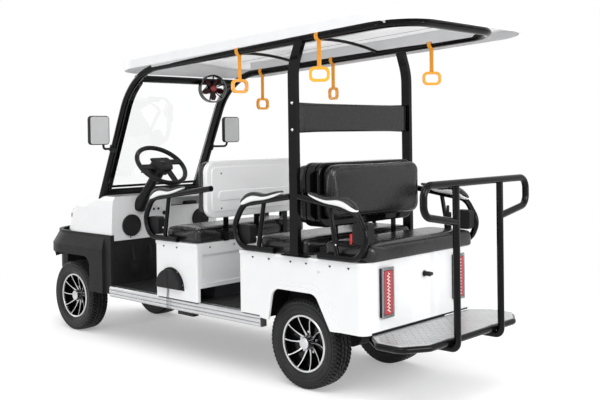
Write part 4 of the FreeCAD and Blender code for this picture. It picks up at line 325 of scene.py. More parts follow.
def add_block(mesh, low_corner, high_corner, edge=0.0, segments=2, turn=None):
    """Block with rounded edges, moved by a matrix where one is given."""
    low_corner, high_corner = Vector(low_corner), Vector(high_corner)
    before = len(mesh.verts)
    made = bmesh.ops.create_cube(mesh, size=1.0)["verts"]
    span = high_corner - low_corner
    matrix = Matrix.Translation((low_corner + high_corner) / 2) @ Matrix.Diagonal((*span, 1.0))
    bmesh.ops.transform(mesh, matrix=matrix, verts=made)
    if edge:
        edges = list(dict.fromkeys(side for vert in made for side in vert.link_edges))
        bmesh.ops.bevel(mesh, geom=edges, offset=edge, segments=segments, profile=0.5, affect="EDGES")
    if turn is not None:
        mesh.verts.ensure_lookup_table()
        bmesh.ops.transform(mesh, matrix=turn, verts=mesh.verts[before:])


def add_side_block(mesh, side, low_corner, high_corner, edge=0.0, segments=2):
    """Block given on the left side, made there or mirrored to the right."""
    near, far = sorted((side * low_corner[0], side * high_corner[0]))
    add_block(mesh, (near, *low_corner[1:]), (far, *high_corner[1:]), edge, segments)


def facing(way, place):
    """Matrix that takes +Z to a direction and the origin to a place."""
    return Matrix.Translation(Vector(place)) @ Vector(way).to_track_quat("Z", "Y").to_matrix().to_4x4()


def add_lathe(mesh, profile, sides, matrix):
    """Profile of (radius, height) in mm turned about Z, closed where the radius is zero."""
    rows = []
    for radius, height in profile:
        turns = [index * math.tau / sides for index in range(sides if radius else 1)]
        radius, height = radius * MM, height * MM
        rows.append([mesh.verts.new((radius * math.cos(turn), radius * math.sin(turn), height))
                     for turn in turns])
    for row, after in zip(rows, rows[1:]):
        for index in range(sides):
            following = (index + 1) % sides
            if len(row) == 1:
                mesh.faces.new((row[0], after[index], after[following]))
            elif len(after) == 1:
                mesh.faces.new((row[index], after[0], row[following]))
            else:
                mesh.faces.new((row[index], after[index], after[following], row[following]))
    bmesh.ops.transform(mesh, matrix=matrix, verts=[vert for row in rows for vert in row])


def add_screw(mesh, place, way, radius, height=2.2):
    """Domed screw head on a surface, its radius and height in mm."""
    dome = ((0, height), (radius * 0.55, height * 0.92), (radius * 0.9, height * 0.5),
            (radius, 0), (radius, -2), (0, -2))
    add_lathe(mesh, dome, 20, facing(way, place))


def add_skin(mesh, loops):
    """Faces between loops of mesh points that follow each other."""
    for loop, after in zip(loops, loops[1:]):
        for index in range(len(loop)):
            following = (index + 1) % len(loop)
            mesh.faces.new((loop[index], loop[following], after[following], after[index]))


def add_loft(mesh, sections):
    """Skin over sections, closed at both ends."""
    loops = [[mesh.verts.new(point) for point in section] for section in sections]
    add_skin(mesh, loops)
    mesh.faces.new(loops[0])
    mesh.faces.new(list(reversed(loops[-1])))


def rounded(points, bend, steps=6):
    """Closed outline with its corners rounded."""
    smooth = []
    for index, corner in enumerate(points):
        into, out = points[index - 1] - corner, points[(index + 1) % len(points)] - corner
        reach = min(bend, into.length * 0.49, out.length * 0.49)
        start, end = corner + into.normalized() * reach, corner + out.normalized() * reach
        for step in range(steps + 1):
            share = step / steps
            smooth.append((1 - share) ** 2 * start + 2 * share * (1 - share) * corner + share ** 2 * end)
    return smooth


def panel_outline(low_corner, high_corner, edge, axis, level, bend, steps=6):
    """Rounded outline of a box's face at a level along an axis, pulled in from its edges."""
    across, up = [other for other in range(3) if other != axis]
    corners = []
    for right, upper in ((False, False), (True, False), (True, True), (False, True)):
        corner = Vector((level, level, level))
        corner[across] = high_corner[across] - edge if right else low_corner[across] + edge
        corner[up] = high_corner[up] - edge if upper else low_corner[up] + edge
        corners.append(corner)
    return rounded(corners, bend, steps)


def rounded_line(points, steps=5):
    """Open line through points, rounded between them."""
    line = []
    for index in range(len(points) - 1):
        before, start = points[max(index - 1, 0)], points[index]
        end, after = points[index + 1], points[min(index + 2, len(points) - 1)]
        for step in range(steps):
            share = step / steps
            line.append(0.5 * ((2 * start) + (end - before) * share
                               + (2 * before - 5 * start + 4 * end - after) * share ** 2
                               + (3 * start - before - 3 * end + after) * share ** 3))
    return line + [points[-1]]


def pipe(name, points, radius, material, closed=False):
    """Thin round trim along points."""
    data = bpy.data.curves.new(name, "CURVE")
    data.dimensions = "3D"
    data.bevel_depth, data.bevel_resolution = radius, 4
    data.use_fill_caps = not closed
    spline = data.splines.new("POLY")
    spline.points.add(len(points) - 1)
    for point, place in zip(spline.points, points):
        point.co = (*place, 1.0)
    spline.use_cyclic_u = closed
    bring_in(name, data, material, "chassis")


def points_of(data):
    """Copies of a mesh's points."""
    return [vert.co.copy() for vert in data.vertices]


def touched(data, starts, way):
    """Where lines from the starts along a way meet a mesh."""
    tree = BVHTree.FromPolygons(points_of(data), [tuple(face.vertices) for face in data.polygons])
    hits = [tree.ray_cast(start, way)[0] for start in starts]
    return [hit for hit in hits if hit is not None]


# Soft parts

PRESSURE, CLOTH_STEPS = 1.4, 16
WELT_RADIUS = 2.2 * MM
RAY_START = 0.5


def slab(low_corner, high_corner, face_axis, face_side, corner, rim):
    """Closed slab: corners rounded in the plane of its face, then the rim of that face."""
    mesh = bmesh.new()
    add_block(mesh, low_corner, high_corner)
    way = Vector([float(axis == face_axis) for axis in range(3)])
    along = [edge for edge in mesh.edges
             if abs((edge.verts[0].co - edge.verts[1].co).normalized().dot(way)) > 0.99]
    bmesh.ops.bevel(mesh, geom=along, offset=corner, segments=10, profile=0.5, affect="EDGES")
    level = high_corner[face_axis] if face_side > 0 else low_corner[face_axis]
    top = [edge for edge in mesh.edges
           if all(abs(vert.co[face_axis] - level) < 1e-6 for vert in edge.verts)
           and len(edge.link_faces) == 2
           and abs(edge.link_faces[0].normal.dot(edge.link_faces[1].normal)) < 0.9]
    bmesh.ops.bevel(mesh, geom=top, offset=rim, segments=8, profile=0.5, affect="EDGES")
    return mesh


def apply_modifiers(piece):
    """Bakes the modifiers into the mesh."""
    kept = list(piece.data.materials)
    evaluated = piece.evaluated_get(bpy.context.evaluated_depsgraph_get())
    mesh = bpy.data.meshes.new_from_object(evaluated)
    piece.modifiers.clear()
    piece.data = mesh
    mesh.materials.clear()
    for one in kept:
        mesh.materials.append(one)


def inflate(piece, voxel, cap, weight):
    """Remeshes a closed form, lets air pressure swell it as cloth, and limits how far a point goes."""
    bpy.context.view_layer.objects.active = piece
    remesh = piece.modifiers.new("remesh", "REMESH")
    remesh.mode = "VOXEL"
    remesh.voxel_size = voxel
    apply_modifiers(piece)
    rest = points_of(piece.data)
    cloth = piece.modifiers.new("cloth", "CLOTH")
    settings = cloth.settings
    settings.use_pressure = True
    settings.uniform_pressure_force = PRESSURE
    settings.quality = 4
    settings.mass = 0.3
    settings.tension_stiffness = settings.compression_stiffness = 40
    settings.shear_stiffness = 20
    settings.effector_weights.gravity = 0.0
    cloth.collision_settings.use_collision = False
    cloth.point_cache.frame_start, cloth.point_cache.frame_end = 1, CLOTH_STEPS
    for frame_number in range(1, CLOTH_STEPS + 1):
        bpy.context.scene.frame_set(frame_number)
    apply_modifiers(piece)
    for vert, start in zip(piece.data.vertices, rest):
        move = vert.co - start
        far = move.length
        if far > 0:
            vert.co = start + move * (cap * math.tanh(far / cap) / far) * weight(start)
    bpy.context.scene.frame_set(1)


def smooth_out(piece, times=12, levels=1):
    """Relaxes the voxel steps, then subdivides."""
    relax = piece.modifiers.new("relax", "SMOOTH")
    relax.factor, relax.iterations = 0.5, times
    if levels:
        finer = piece.modifiers.new("finer", "SUBSURF")
        finer.levels = finer.render_levels = levels
    apply_modifiers(piece)
    piece.data.shade_smooth()


def smoothstep(low_value, high_value, at):
    """0 below one value, 1 above the other, smooth between."""
    share = max(0.0, min(1.0, (at - low_value) / (high_value - low_value)))
    return share * share * (3 - 2 * share)


def welt(piece, outline, way):
    """Sewn welt that follows a pad's surface under an outline."""
    starts = [point + way * RAY_START for point in outline]
    found = [hit - way * WELT_RADIUS * 0.35 for hit in touched(piece.data, starts, -way)]
    pipe(piece.name + "_welt", found, WELT_RADIUS, vinyl, closed=True)


def seat_cushion(node):
    """Crowned cushion with a welt round its top panel."""
    low_corner, high_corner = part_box(node)
    inset, crown = Vector((9 * MM, 9 * MM, 0)), Vector((0, 0, 6 * MM))
    mesh = slab(low_corner + inset, high_corner - inset - crown, 2, 1, 38 * MM, 24 * MM)
    piece = new_piece(node + "_cover", mesh, vinyl, crisp=0)
    inflate(piece, 9 * MM, 11 * MM,
            lambda place: smoothstep(low_corner.z + 4 * MM, low_corner.z + 40 * MM, place.z))
    smooth_out(piece)
    welt(piece, panel_outline(low_corner, high_corner, 24 * MM, 2, high_corner.z, 30 * MM), Z_WAY)
    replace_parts(piece, node)


def back_pad(name, low_corner, high_corner, face):
    """Backrest pad: flat face inside a welt, rounded rim, soft sides."""
    inset = Vector((5 * MM, 5 * MM, 5 * MM))
    mesh = slab(low_corner + inset, high_corner - inset, 1, face, 58 * MM, 20 * MM)
    piece = new_piece(name, mesh, vinyl, crisp=0)
    back, front = (low_corner.y, high_corner.y) if face > 0 else (high_corner.y, low_corner.y)
    inflate(piece, 8 * MM, 6 * MM, lambda place: smoothstep(4 * MM, 30 * MM, abs(place.y - back)))
    smooth_out(piece)
    welt(piece, panel_outline(low_corner, high_corner, 27 * MM, 1, front, 52 * MM), face * Y_WAY)
    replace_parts(piece, "backrest_pads")


# Tyres and rims

TREAD_COLUMNS, LUG_COLUMNS, CUT_COLUMNS, ZIGZAG_COLUMNS = 512, 8, 3, 16
CROWN_ROWS, CROWN_HALF, CROWN_DROP = 38, 56 * MM, 2.2 * MM
GROOVE_DEPTH, SIPE_DEPTH = 9 * MM, 5 * MM
ZIGZAG_SWING, SIDE_GROOVE, SHOULDER = 5 * MM, 27 * MM, 30 * MM
BEAD_RADIUS = 163 * MM
WALL_ABOVE_BEAD = (
    # how far in from the tyre's widest place, and the height above the bead, in mm
    (22.5, 1), (15.5, 0), (11.5, 3), (9.5, 9), (6.5, 11), (3, 19), (1.5, 26), (0.3, 27), (0.3, 31),
    (1.5, 33), (0, 42), (-0.1, 54), (0.1, 57), (3, 58.5),
)
WALL_BELOW_CROWN = ((2.5, 24), (1, 20.5), (1.5, 17), (5.5, 11), (10.5, 4))


def tread_depth(across, column):
    """How deep the tread is cut at a place across the crown and round the tyre."""
    away = abs(across)
    phase = (column % ZIGZAG_COLUMNS) / ZIGZAG_COLUMNS
    wave = ZIGZAG_SWING * (4 * abs(phase - 0.5) - 1)
    if abs(across - wave) < 3.2 * MM or abs(away - SIDE_GROOVE - wave * 0.6) < 3.4 * MM:
        return GROOVE_DEPTH
    slant = int(away / (4.5 * MM)) * (1 if across > 0 else -1)
    step = (column + slant) % LUG_COLUMNS
    if away > SHOULDER:
        return GROOVE_DEPTH if step < CUT_COLUMNS else 0
    return SIPE_DEPTH if step == 0 else 0


def cut_or_rib(across, radius, outer, column):
    """How far the surface lies under its section: cut tread and shoulders, fine ribs on the wall."""
    if abs(across) <= CROWN_HALF and radius > outer - 3 * MM:
        return tread_depth(across, column)
    if radius > outer - 20 * MM:
        return GROOVE_DEPTH if column % LUG_COLUMNS < CUT_COLUMNS else 0
    return -0.5 * MM if outer - 36 * MM < radius < outer - 20 * MM and column % 4 == 0 else 0


def tyre_rows(outer, half):
    """Section of the tyre from bead to bead: places across and their radius."""
    wall = [(half - inwards * MM, BEAD_RADIUS + up * MM) for inwards, up in WALL_ABOVE_BEAD]
    wall += [(half - inwards * MM, outer - down * MM) for inwards, down in WALL_BELOW_CROWN]
    rows = [(-across, radius) for across, radius in wall]
    for index in range(CROWN_ROWS + 1):
        share = 2 * index / CROWN_ROWS - 1
        rows.append((CROWN_HALF * share, outer - CROWN_DROP * share ** 2))
    return rows + list(reversed(wall))


def make_tyre(name, body):
    """Road tyre with zigzag grooves, shoulder lugs and ribbed walls."""
    node = name + "_tyre"
    outer, half = (high(node).z - low(node).z) / 2, (high(node).x - low(node).x) / 2
    mesh = bmesh.new()
    loops = []
    for across, radius in tyre_rows(outer, half):
        loop = []
        for column in range(TREAD_COLUMNS):
            out = radius - cut_or_rib(across, radius, outer, column)
            turn = column * math.tau / TREAD_COLUMNS
            loop.append(mesh.verts.new((across, out * math.sin(turn), out * math.cos(turn))))
        loops.append(loop)
    add_skin(mesh, loops + loops[:1])
    bmesh.ops.translate(mesh, vec=(low(node) + high(node)) / 2, verts=mesh.verts)
    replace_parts(new_piece(name + "_tread", mesh, tyre_rubber, body, 32), node)


# profiles of radius and height from the wheel's middle plane, in mm
DISH = (
    (0, 6), (46, 6), (60, 4), (146, 14), (149, 30), (150, 56), (161, 56), (162.5, 50), (162.5, -58),
    (153.5, -58), (153.5, 2), (146, 6), (60, -4), (46, -4), (34, -6), (34, -22), (21, -22), (21, 2), (0, 2),
)
HUB_BARREL = ((0, 55), (33.5, 55), (39, 12), (44, 4), (0, 4))
RIM_LIP = ((148, 52), (149.5, 60), (152, 62), (159, 62), (162.2, 59), (162.2, 55), (148, 52))
HUB_CAP = ((0, 58), (29, 58), (33, 56.4), (34, 54), (0, 54))
NUT = ((0, 18), (6, 18), (8.5, 15), (8.5, 2), (0, 2))
VALVE = ((0, 30), (3, 30), (4, 26), (4, -8), (0, -8))
HUB_RIBS, SPOKES, NUTS = 22, 10, 5
NUT_RADIUS, VALVE_RADIUS = 60 * MM, 143 * MM
HUB_RIB_ROWS = ((34.6, 53), (36.6, 36), (39.5, 16))
HUB_RIB_SECTION = ((-1.5, -1.6), (0.8, -1.2), (0.8, 1.2), (-1.5, 1.6))
SPOKE_ROWS = (
    # radius, height of the bright face, its width and how far it bends aside, in mm
    (40, 18, 15, 0), (56, 22, 11, 2), (82, 31, 7, 4), (112, 42, 5.5, 3), (134, 51, 6, -1), (150, 57, 9, -6),
)


def spoke_section(turn, radius, bend, outline):
    """Section of a spoke at a radius, from places across and up, in mm."""
    return [turn @ (Vector((radius, bend + across, height)) * MM) for across, height in outline]


def make_rim(name, side, body):
    """Dished black wheel with bright spoke edges, lip, hub barrel, nuts and valve."""
    place = facing((side, 0, 0), (low(name + "_tyre") + high(name + "_tyre")) / 2)
    dark, bright, valve = bmesh.new(), bmesh.new(), bmesh.new()
    add_lathe(dark, DISH, 96, place)
    add_lathe(dark, HUB_BARREL, 60, place)
    add_lathe(bright, RIM_LIP, 120, place)
    add_lathe(bright, HUB_CAP, 60, place)
    for index in range(HUB_RIBS):
        turn = place @ Matrix.Rotation(index * math.tau / HUB_RIBS, 4, "Z")
        add_loft(bright, [[turn @ (Vector((radius + out, across, height)) * MM)
                           for out, across in HUB_RIB_SECTION] for radius, height in HUB_RIB_ROWS])
    for index in range(SPOKES):
        turn = place @ Matrix.Rotation(index * math.tau / SPOKES, 4, "Z")
        webs, faces = [], []
        for radius, face, wide, bend in SPOKE_ROWS:
            half, base = wide / 2, 5 + (radius - 40) * 0.08
            webs.append(spoke_section(turn, radius, bend, (
                (-half - 5, base), (-half - 1.2, face - 1.2), (half + 1.2, face - 1.2), (half + 5, base))))
            faces.append(spoke_section(turn, radius, bend, (
                (-half, face - 2), (-half, face), (half, face), (half, face - 2))))
        add_loft(dark, webs)
        add_loft(bright, faces)
    for index in range(NUTS):
        turn = place @ Matrix.Rotation(math.radians(18 + 360 / NUTS * index), 4, "Z")
        add_lathe(bright, NUT, 6, turn @ Matrix.Translation((NUT_RADIUS, 0, 0)))
    stem = place @ Matrix.Rotation(0.3, 4, "Z") @ Matrix.Translation((VALVE_RADIUS, 0, 20 * MM))
    add_lathe(valve, VALVE, 12, stem)
    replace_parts(new_piece(name + "_dish", dark, gloss_black, body, 30), name + "_rim")
    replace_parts(new_piece(name + "_bright_edges", bright, rim_bright, body, 30), name + "_rim")
    new_piece(name + "_valve", valve, dark_rubber, body, 35)


for end in ("front", "rear"):
    for side in SIDES:
        wheel = "%s_%s" % (end, SIDE_NAMES[side])
        dress(rim_bright, wheel + "_rim")
        dress(tyre_rubber, wheel + "_tyre")
        make_tyre(wheel, wheel + "_wheel")
        make_rim(wheel, side, wheel + "_wheel")


# Seats

BACK_PADS = (
    # name, its half width, lowest and highest place, front and rear, and the side its face looks to
    ("front_back_pad", 0.428, 0.905, 1.262, 0.0917, 0.1677, -1),
    ("mid_back_pad", 0.418, 0.915, 1.252, 0.9357, 1.0117, -1),
    ("rear_back_pad", 0.408, 0.942, 1.254, 1.1403, 1.2163, 1),
)
SHELL_SPLIT_Y = 0.6
SHELL_SCREW_X, SHELL_SCREW_Z = 0.312, (0.964, 1.183)

for cushion in ("front_cushion", "mid_cushion", "rear_cushion"):
    seat_cushion(cushion)

for name, half, under, top, front, rear, face in BACK_PADS:
    back_pad(name, Vector((-half, front, under)), Vector((half, rear, top)), face)


def head_cover():
    """Padded band between the rear pillars, wrapped and stitched near its ends."""
    low_corner, high_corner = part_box("head_panel")
    rim = Vector((1 * MM, 4 * MM, 4 * MM))
    mesh = slab(low_corner + rim, high_corner - rim, 0, 1, 8 * MM, 3 * MM)
    piece = new_piece("head_cover", mesh, vinyl, crisp=0)
    inflate(piece, 7 * MM, 5 * MM, lambda place: smoothstep(0, 60 * MM, high_corner.x - abs(place.x)))
    smooth_out(piece, levels=0)
    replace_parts(piece, "head_panel")
    margin, count = 8 * MM, 24
    run = high_corner.z - low_corner.z - 2 * margin
    for side in SIDES:
        for way, end in ((1, "rear"), (-1, "front")):
            starts = [Vector((side * (high_corner.x - 55 * MM), low_corner.y + way * RAY_START,
                              low_corner.z + margin + run * step / (count - 1))) for step in range(count)]
            pipe("head_seam_%s_%s" % (SIDE_NAMES[side], end), touched(piece.data, starts, -way * Y_WAY),
                 1.3 * MM, vinyl)


def part_of(name, node, keep, material):
    """The faces of a node that pass a test, as a piece of their own."""
    mesh = bmesh.new()
    mesh.from_mesh(nodes[node].data)
    gone = [face for face in mesh.faces if not keep(face.calc_center_median())]
    bmesh.ops.delete(mesh, geom=gone, context="FACES")
    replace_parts(new_piece(name, mesh, material, crisp=30), node)


def make_shell_screws():
    """Small dark screws at the corners of the front seat's white shell."""
    mesh = bmesh.new()
    starts = [Vector((side * SHELL_SCREW_X, SHELL_SPLIT_Y, z)) for side in SIDES for z in SHELL_SCREW_Z]
    for place in touched(nodes["backrest_shells"].data, starts, -Y_WAY):
        add_screw(mesh, place, Y_WAY, 6, 1.6)
    new_piece("shell_screws", mesh, dark_rubber)


head_cover()
part_of("front_back_shell", "backrest_shells", lambda middle: middle.y < SHELL_SPLIT_Y, gel_white)
part_of("rear_back_shells", "backrest_shells", lambda middle: middle.y > SHELL_SPLIT_Y, gloss_black)


# Armrest pads

ARMREST_X = 0.5145
# name, where the nose is and which way the pad runs from it
ARMRESTS = (("front", -0.318, 1), ("mid", 0.545, 1), ("rear", 1.550, -1))
PAD_ROWS = (
    # run from the armrest's nose, underside, line between the colours, top and half width, in mm
    (60, 1020, 1026, 1034, 8), (80, 1011, 1034, 1056, 20), (119, 1024, 1060, 1086, 25),
    (155, 1036, 1074, 1097, 26), (193, 1044, 1079, 1099, 26), (232, 1048, 1073, 1092, 25),
    (266, 1052, 1071, 1089, 25), (302, 1060, 1077, 1095, 24), (337, 1069, 1086, 1103, 23),
    (372, 1082, 1094, 1110, 20), (396, 1092, 1099, 1111, 14), (408, 1098, 1102, 1107, 6),
)
RING_POINTS, RING_POWER = 20, 0.75


def pad_ring(x, y, under, top, half):
    """Rounded section of a pad between two heights, these and the half width in mm."""
    ring = []
    for index in range(RING_POINTS):
        turn = index * math.tau / RING_POINTS
        across, up = [math.copysign(abs(part) ** RING_POWER, part)
                      for part in (math.cos(turn), math.sin(turn))]
        ring.append(Vector((x + half * MM * across, y, ((under + top) + (top - under) * up) / 2 * MM)))
    return ring


def make_arm_pads():
    """Wavy armrests: white moulding below, black padding above."""
    for end, nose, way in ARMRESTS:
        for side in SIDES:
            label, x = "%s_%s" % (end, SIDE_NAMES[side]), side * ARMREST_X
            white, black = bmesh.new(), bmesh.new()
            rows = [(nose + way * run * MM, *row) for run, *row in PAD_ROWS]
            add_loft(white, [pad_ring(x, y, under, line + 5, half)
                             for y, under, line, top, half in rows])
            add_loft(black, [pad_ring(x, y, line - 3, top, half + 0.8)
                             for y, under, line, top, half in rows])
            moulding = new_piece("arm_moulding_" + label, white, gel_white, crisp=0)
            padding = new_piece("arm_padding_" + label, black, vinyl, crisp=0)
            for piece in (moulding, padding):
                smooth_out(piece, times=0)
                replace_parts(piece, "armrest_pads")


make_arm_pads()


# Screws

BODY_X = 0.504
FLANGE_SCREW_Y = (-0.139, -0.007, 0.689, 0.821, 0.991, 1.109, 1.281, 1.41)
FLANGE_SCREW_Z = 0.722
COVER_SCREW_X, COVER_SCREW_Y, COVER_SCREW_Z = (-0.40, -0.2, 0.2, 0.40), 0.193, 0.7275
BRIGHT_SCREWS = (
    # distance aside, places along the cart, height, whether it faces up, radius and height in mm
    (0.526, (1.04,), 1.446, False, 9, 4.5),
    (0.526, (1.04,), 1.592, False, 9, 4.5),
    (ARMREST_X + 0.0125, (-0.113, 0.75, 1.345), 0.842, False, 5.5, 3.5),
    (0.521, (0.965, 1.115), 0.7545, True, 5, 3),
    (0.475, (-0.47, -0.25, 0.02, 0.3, 0.56), 0.3934, True, 6, 2),
)


def make_screws():
    """Black screws under the seat flanges, each below a small dark block at the flange's lip, bright ones
    on pillars, armrests and floor.
    """
    black, bright = bmesh.new(), bmesh.new()
    for side in SIDES:
        for y in FLANGE_SCREW_Y:
            # a small dark block at the lip of the seat flange, above each screw
            add_side_block(black, side, (BODY_X - 2 * MM, y - 8 * MM, FLANGE_SCREW_Z - 1 * MM),
                           (BODY_X + 3 * MM, y + 8 * MM, FLANGE_SCREW_Z + 4 * MM), 1.5 * MM, 1)
            add_screw(black, (side * BODY_X, y, FLANGE_SCREW_Z - 2 * MM), (side, 0, 0), 5, 2.6)
        for x, places, z, upward, radius, height in BRIGHT_SCREWS:
            for y in places:
                add_screw(bright, (side * x, y, z), (0, 0, 1) if upward else (side, 0, 0), radius, height)
    for x in COVER_SCREW_X:
        add_screw(black, (x, COVER_SCREW_Y, COVER_SCREW_Z), Y_WAY, 5)
    new_piece("black_screws", black, dark_rubber)
    new_piece("bright_screws", bright, screw_metal)


make_screws()
make_shell_screws()


# Rear panel

PANEL_Y = 1.514
KNOB_X, KNOB_Z = -0.018, 0.643
KEYHOLE_Y, KEYHOLE_Z = 1.201, 0.684
LAMP_ASIDE, LAMP_REACH, LENS_REACH, FRAME_OVER = 41 * MM, 48 * MM, 36 * MM, 10 * MM
LIGHT_COUNT, LIGHT_MARGIN, LIGHT_LEAN = 23, 24 * MM, math.radians(34)


def make_tail_lamps():
    """Slanting light strips with dots between them, and the frame and back of each tail lamp."""
    face = high("tail_lamps").y
    bottom, top = low("tail_lamps").z, high("tail_lamps").z
    lamps, dots, frames, backs = [bmesh.new() for made in range(4)]
    for side in SIDES:
        middle = side * (high("tail_lamps").x - LAMP_ASIDE)
        for index in range(LIGHT_COUNT):
            z = bottom + LIGHT_MARGIN + (top - bottom - 2 * LIGHT_MARGIN) * index / (LIGHT_COUNT - 1)
            lean = 1 if index % 2 else -1
            matrix = (Matrix.Translation((middle + lean * 5 * MM, face + 0.4 * MM, z))
                      @ Matrix.Rotation(lean * LIGHT_LEAN, 4, "Y"))
            add_block(lamps, (-9 * MM, -1.5 * MM, -2.5 * MM), (9 * MM, 1.0 * MM, 2.5 * MM),
                      0.8 * MM, 1, matrix)
            add_lathe(dots, ((0, 1), (3.2, 0.4), (3.2, -1), (0, -1)), 10,
                      facing(Y_WAY, (middle - lean * 12 * MM, face, z)))
        for near, far in ((-LAMP_REACH, -LENS_REACH), (LENS_REACH, LAMP_REACH)):
            add_block(frames, (middle + near, face - 9 * MM, bottom - FRAME_OVER),
                      (middle + far, face + 1.6 * MM, top + FRAME_OVER), 3 * MM, 3)
            add_block(backs, (middle + near * 0.96, face - 26 * MM, bottom - 6 * MM),
                      (middle + far * 0.96, face - 8.5 * MM, top + 6 * MM), 2 * MM)
        for under, over in ((bottom - FRAME_OVER, bottom + 6 * MM), (top - 6 * MM, top + FRAME_OVER)):
            add_block(frames, (middle - LENS_REACH - 3 * MM, face - 9 * MM, under),
                      (middle + LENS_REACH + 3 * MM, face + 1.5 * MM, over), 2.5 * MM, 3)
    new_piece("light_strips", lamps, led_white)
    new_piece("light_gaps", dots, gloss_black)
    new_piece("lamp_frames", frames, bezel_metal)
    new_piece("lamp_backs", backs, dark_rubber)


def make_rear_details():
    """Lock knob, the black edge under the rear panel, and the keyhole on the side."""
    knob, edge, hole = bmesh.new(), bmesh.new(), bmesh.new()
    add_lathe(knob, ((17, 0.5), (17, 4), (13, 6), (12, 7)), 32, facing(Y_WAY, (KNOB_X, PANEL_Y, KNOB_Z)))
    at_knob = Matrix.Translation((KNOB_X, PANEL_Y, KNOB_Z))
    add_block(knob, (-24 * MM, 30 * MM, -9 * MM), (24 * MM, 46 * MM, 9 * MM), 5 * MM, 3, at_knob)
    add_block(knob, (-8 * MM, 26 * MM, -13 * MM), (8 * MM, 44 * MM, 13 * MM), 4 * MM, 2, at_knob)
    new_piece("lock_knob", knob, skirt_black)
    add_block(edge, (-0.445, PANEL_Y - 2 * MM, 0.3805), (0.445, PANEL_Y + 2.5 * MM, 0.3895), 1 * MM, 1)
    new_piece("rear_edge_trim", edge, dark_rubber)
    add_lathe(hole, ((9, -1), (9, 1.2), (7, 2), (5, 0.6), (0, 0.4)), 28,
              facing(X_WAY, (BODY_X, KEYHOLE_Y, KEYHOLE_Z)))
    new_piece("charge_lock", hole, screw_metal)


make_tail_lamps()
make_rear_details()


# Chequer plate

PLATE_FLARE, PLATE_TAPER = 0.100, 0.240
FLARE_NARROWS, TAPER_NARROWS = 0.082, 0.132
PLATE_EDGE, PLATE_END = 20 * MM, 12 * MM
BAR_PITCH = 25 * MM
BAR_ROWS = ((-12, 0, 0), (-6, 2.6, 1.4), (0, 3.4, 1.8), (6, 2.6, 1.4), (12, 0, 0))


def inside_plate(x, y):
    """Whether a place lies on the platform, away from its edge."""
    front, rear = low("platform_plate").y, high("platform_plate").y
    reach = high("platform_plate").x - PLATE_EDGE
    if y < front + PLATE_FLARE:
        reach -= FLARE_NARROWS * (1 - (y - front) / PLATE_FLARE)
    if y > front + PLATE_TAPER:
        reach -= TAPER_NARROWS * (y - front - PLATE_TAPER) / (rear - front - PLATE_TAPER)
    return abs(x) < reach and front + PLATE_END < y < rear - PLATE_END


def make_chequer_bars():
    """Raised almond bars in alternating directions."""
    top = high("platform_plate").z
    mesh = bmesh.new()
    for row in range(-2, 18):
        for column in range(-26, 27):
            x, y = column * BAR_PITCH, low("platform_plate").y + row * BAR_PITCH
            if not inside_plate(x, y):
                continue
            turn = math.radians(45 if (row + column) % 2 else -45)
            matrix = Matrix.Translation((x, y, top)) @ Matrix.Rotation(turn, 4, "Z")
            lines = []
            for along, wide, up in BAR_ROWS:
                lines.append([mesh.verts.new(matrix @ Vector((along * MM, across * wide * MM, rise * MM)))
                              for across, rise in ((-1, -0.2), (0, up), (1, -0.2))])
            for line, after in zip(lines, lines[1:]):
                for index in range(2):
                    mesh.faces.new((line[index], line[index + 1], after[index + 1], after[index]))
    new_piece("chequer_bars", mesh, screw_metal, crisp=0)


make_chequer_bars()


# Dashboard and controls

GRILLE_X, GRILLE_Z = 0.312, 0.80
GRILLE_RIM = ((76, -10), (76, 0), (73, 3), (66, 3), (63, 0), (62, -2))
# place across, height, and radius in mm, of the key switch and two buttons
SWITCHES = ((0.024, 0.867, 15), (0.075, 0.900, 9), (0.115, 0.900, 9))
DASH_SCREW_X, DASH_SCREW_Z = 0.32, 0.716
# low and high corners, their places along the cart counted from the dashboard's face
KEY_BLADE = ((0.020, 0.002, 0.858), (0.028, 0.020, 0.877))
TRAY_LIP = ((-0.330, -0.002, 0.904), (-0.040, 0.008, 0.912))
TRAY_MAT = ((-0.327, -0.090, 0.906), (-0.043, -0.007, 0.911))
TRAY_BOX = ((-0.300, -0.070, 0.911), (-0.200, -0.020, 0.935))


def make_dash_details():
    """Speaker grilles, key switch and buttons, a screw, and the tray's lip and floor."""
    dash = high("dashboard").y
    for side in SIDES:
        grille = bmesh.new()
        place = facing(Y_WAY, (side * GRILLE_X, dash + 12.5 * MM, GRILLE_Z))
        add_lathe(grille, GRILLE_RIM, 72, place)
        for radius in range(8, 62, 6):
            add_lathe(grille, ((radius + 2, 0), (radius, 0.9), (radius - 2, 0)), 60, place)
        new_piece("speaker_grille_" + SIDE_NAMES[side], grille, skirt_black)
    keys, knob, tray, bottom = [bmesh.new() for made in range(4)]
    at_dash = Matrix.Translation((0, dash, 0))
    for x, z, radius in SWITCHES:
        add_lathe(keys, ((radius, -1), (radius, 3), (radius - 3, 5), (0, 4)), 32,
                  facing(Y_WAY, (x, dash, z)))
    add_block(keys, *KEY_BLADE, 1.5 * MM, 2, at_dash)
    new_piece("dash_switches", keys, skirt_black)
    add_screw(knob, (DASH_SCREW_X, dash, DASH_SCREW_Z), Y_WAY, 6)
    new_piece("dash_screw", knob, dark_rubber)
    add_block(tray, *TRAY_LIP, 3 * MM, 2, at_dash)
    new_piece("tray_lip", tray, gel_white)
    add_block(bottom, *TRAY_MAT, 1 * MM, 1, at_dash)
    add_block(bottom, *TRAY_BOX, 6 * MM, 2, at_dash)
    new_piece("tray_floor", bottom, mat_black)


make_dash_details()

WHEEL_LEAN = math.radians(48)
WHEEL_WAY = Vector((0, math.cos(WHEEL_LEAN), math.sin(WHEEL_LEAN)))
WHEEL_TURN = Matrix((X_WAY, WHEEL_WAY.cross(X_WAY), WHEEL_WAY)).transposed().to_4x4()
WHEEL_FRAME = Matrix.Translation((0.23, -0.512, 1.222)) @ WHEEL_TURN
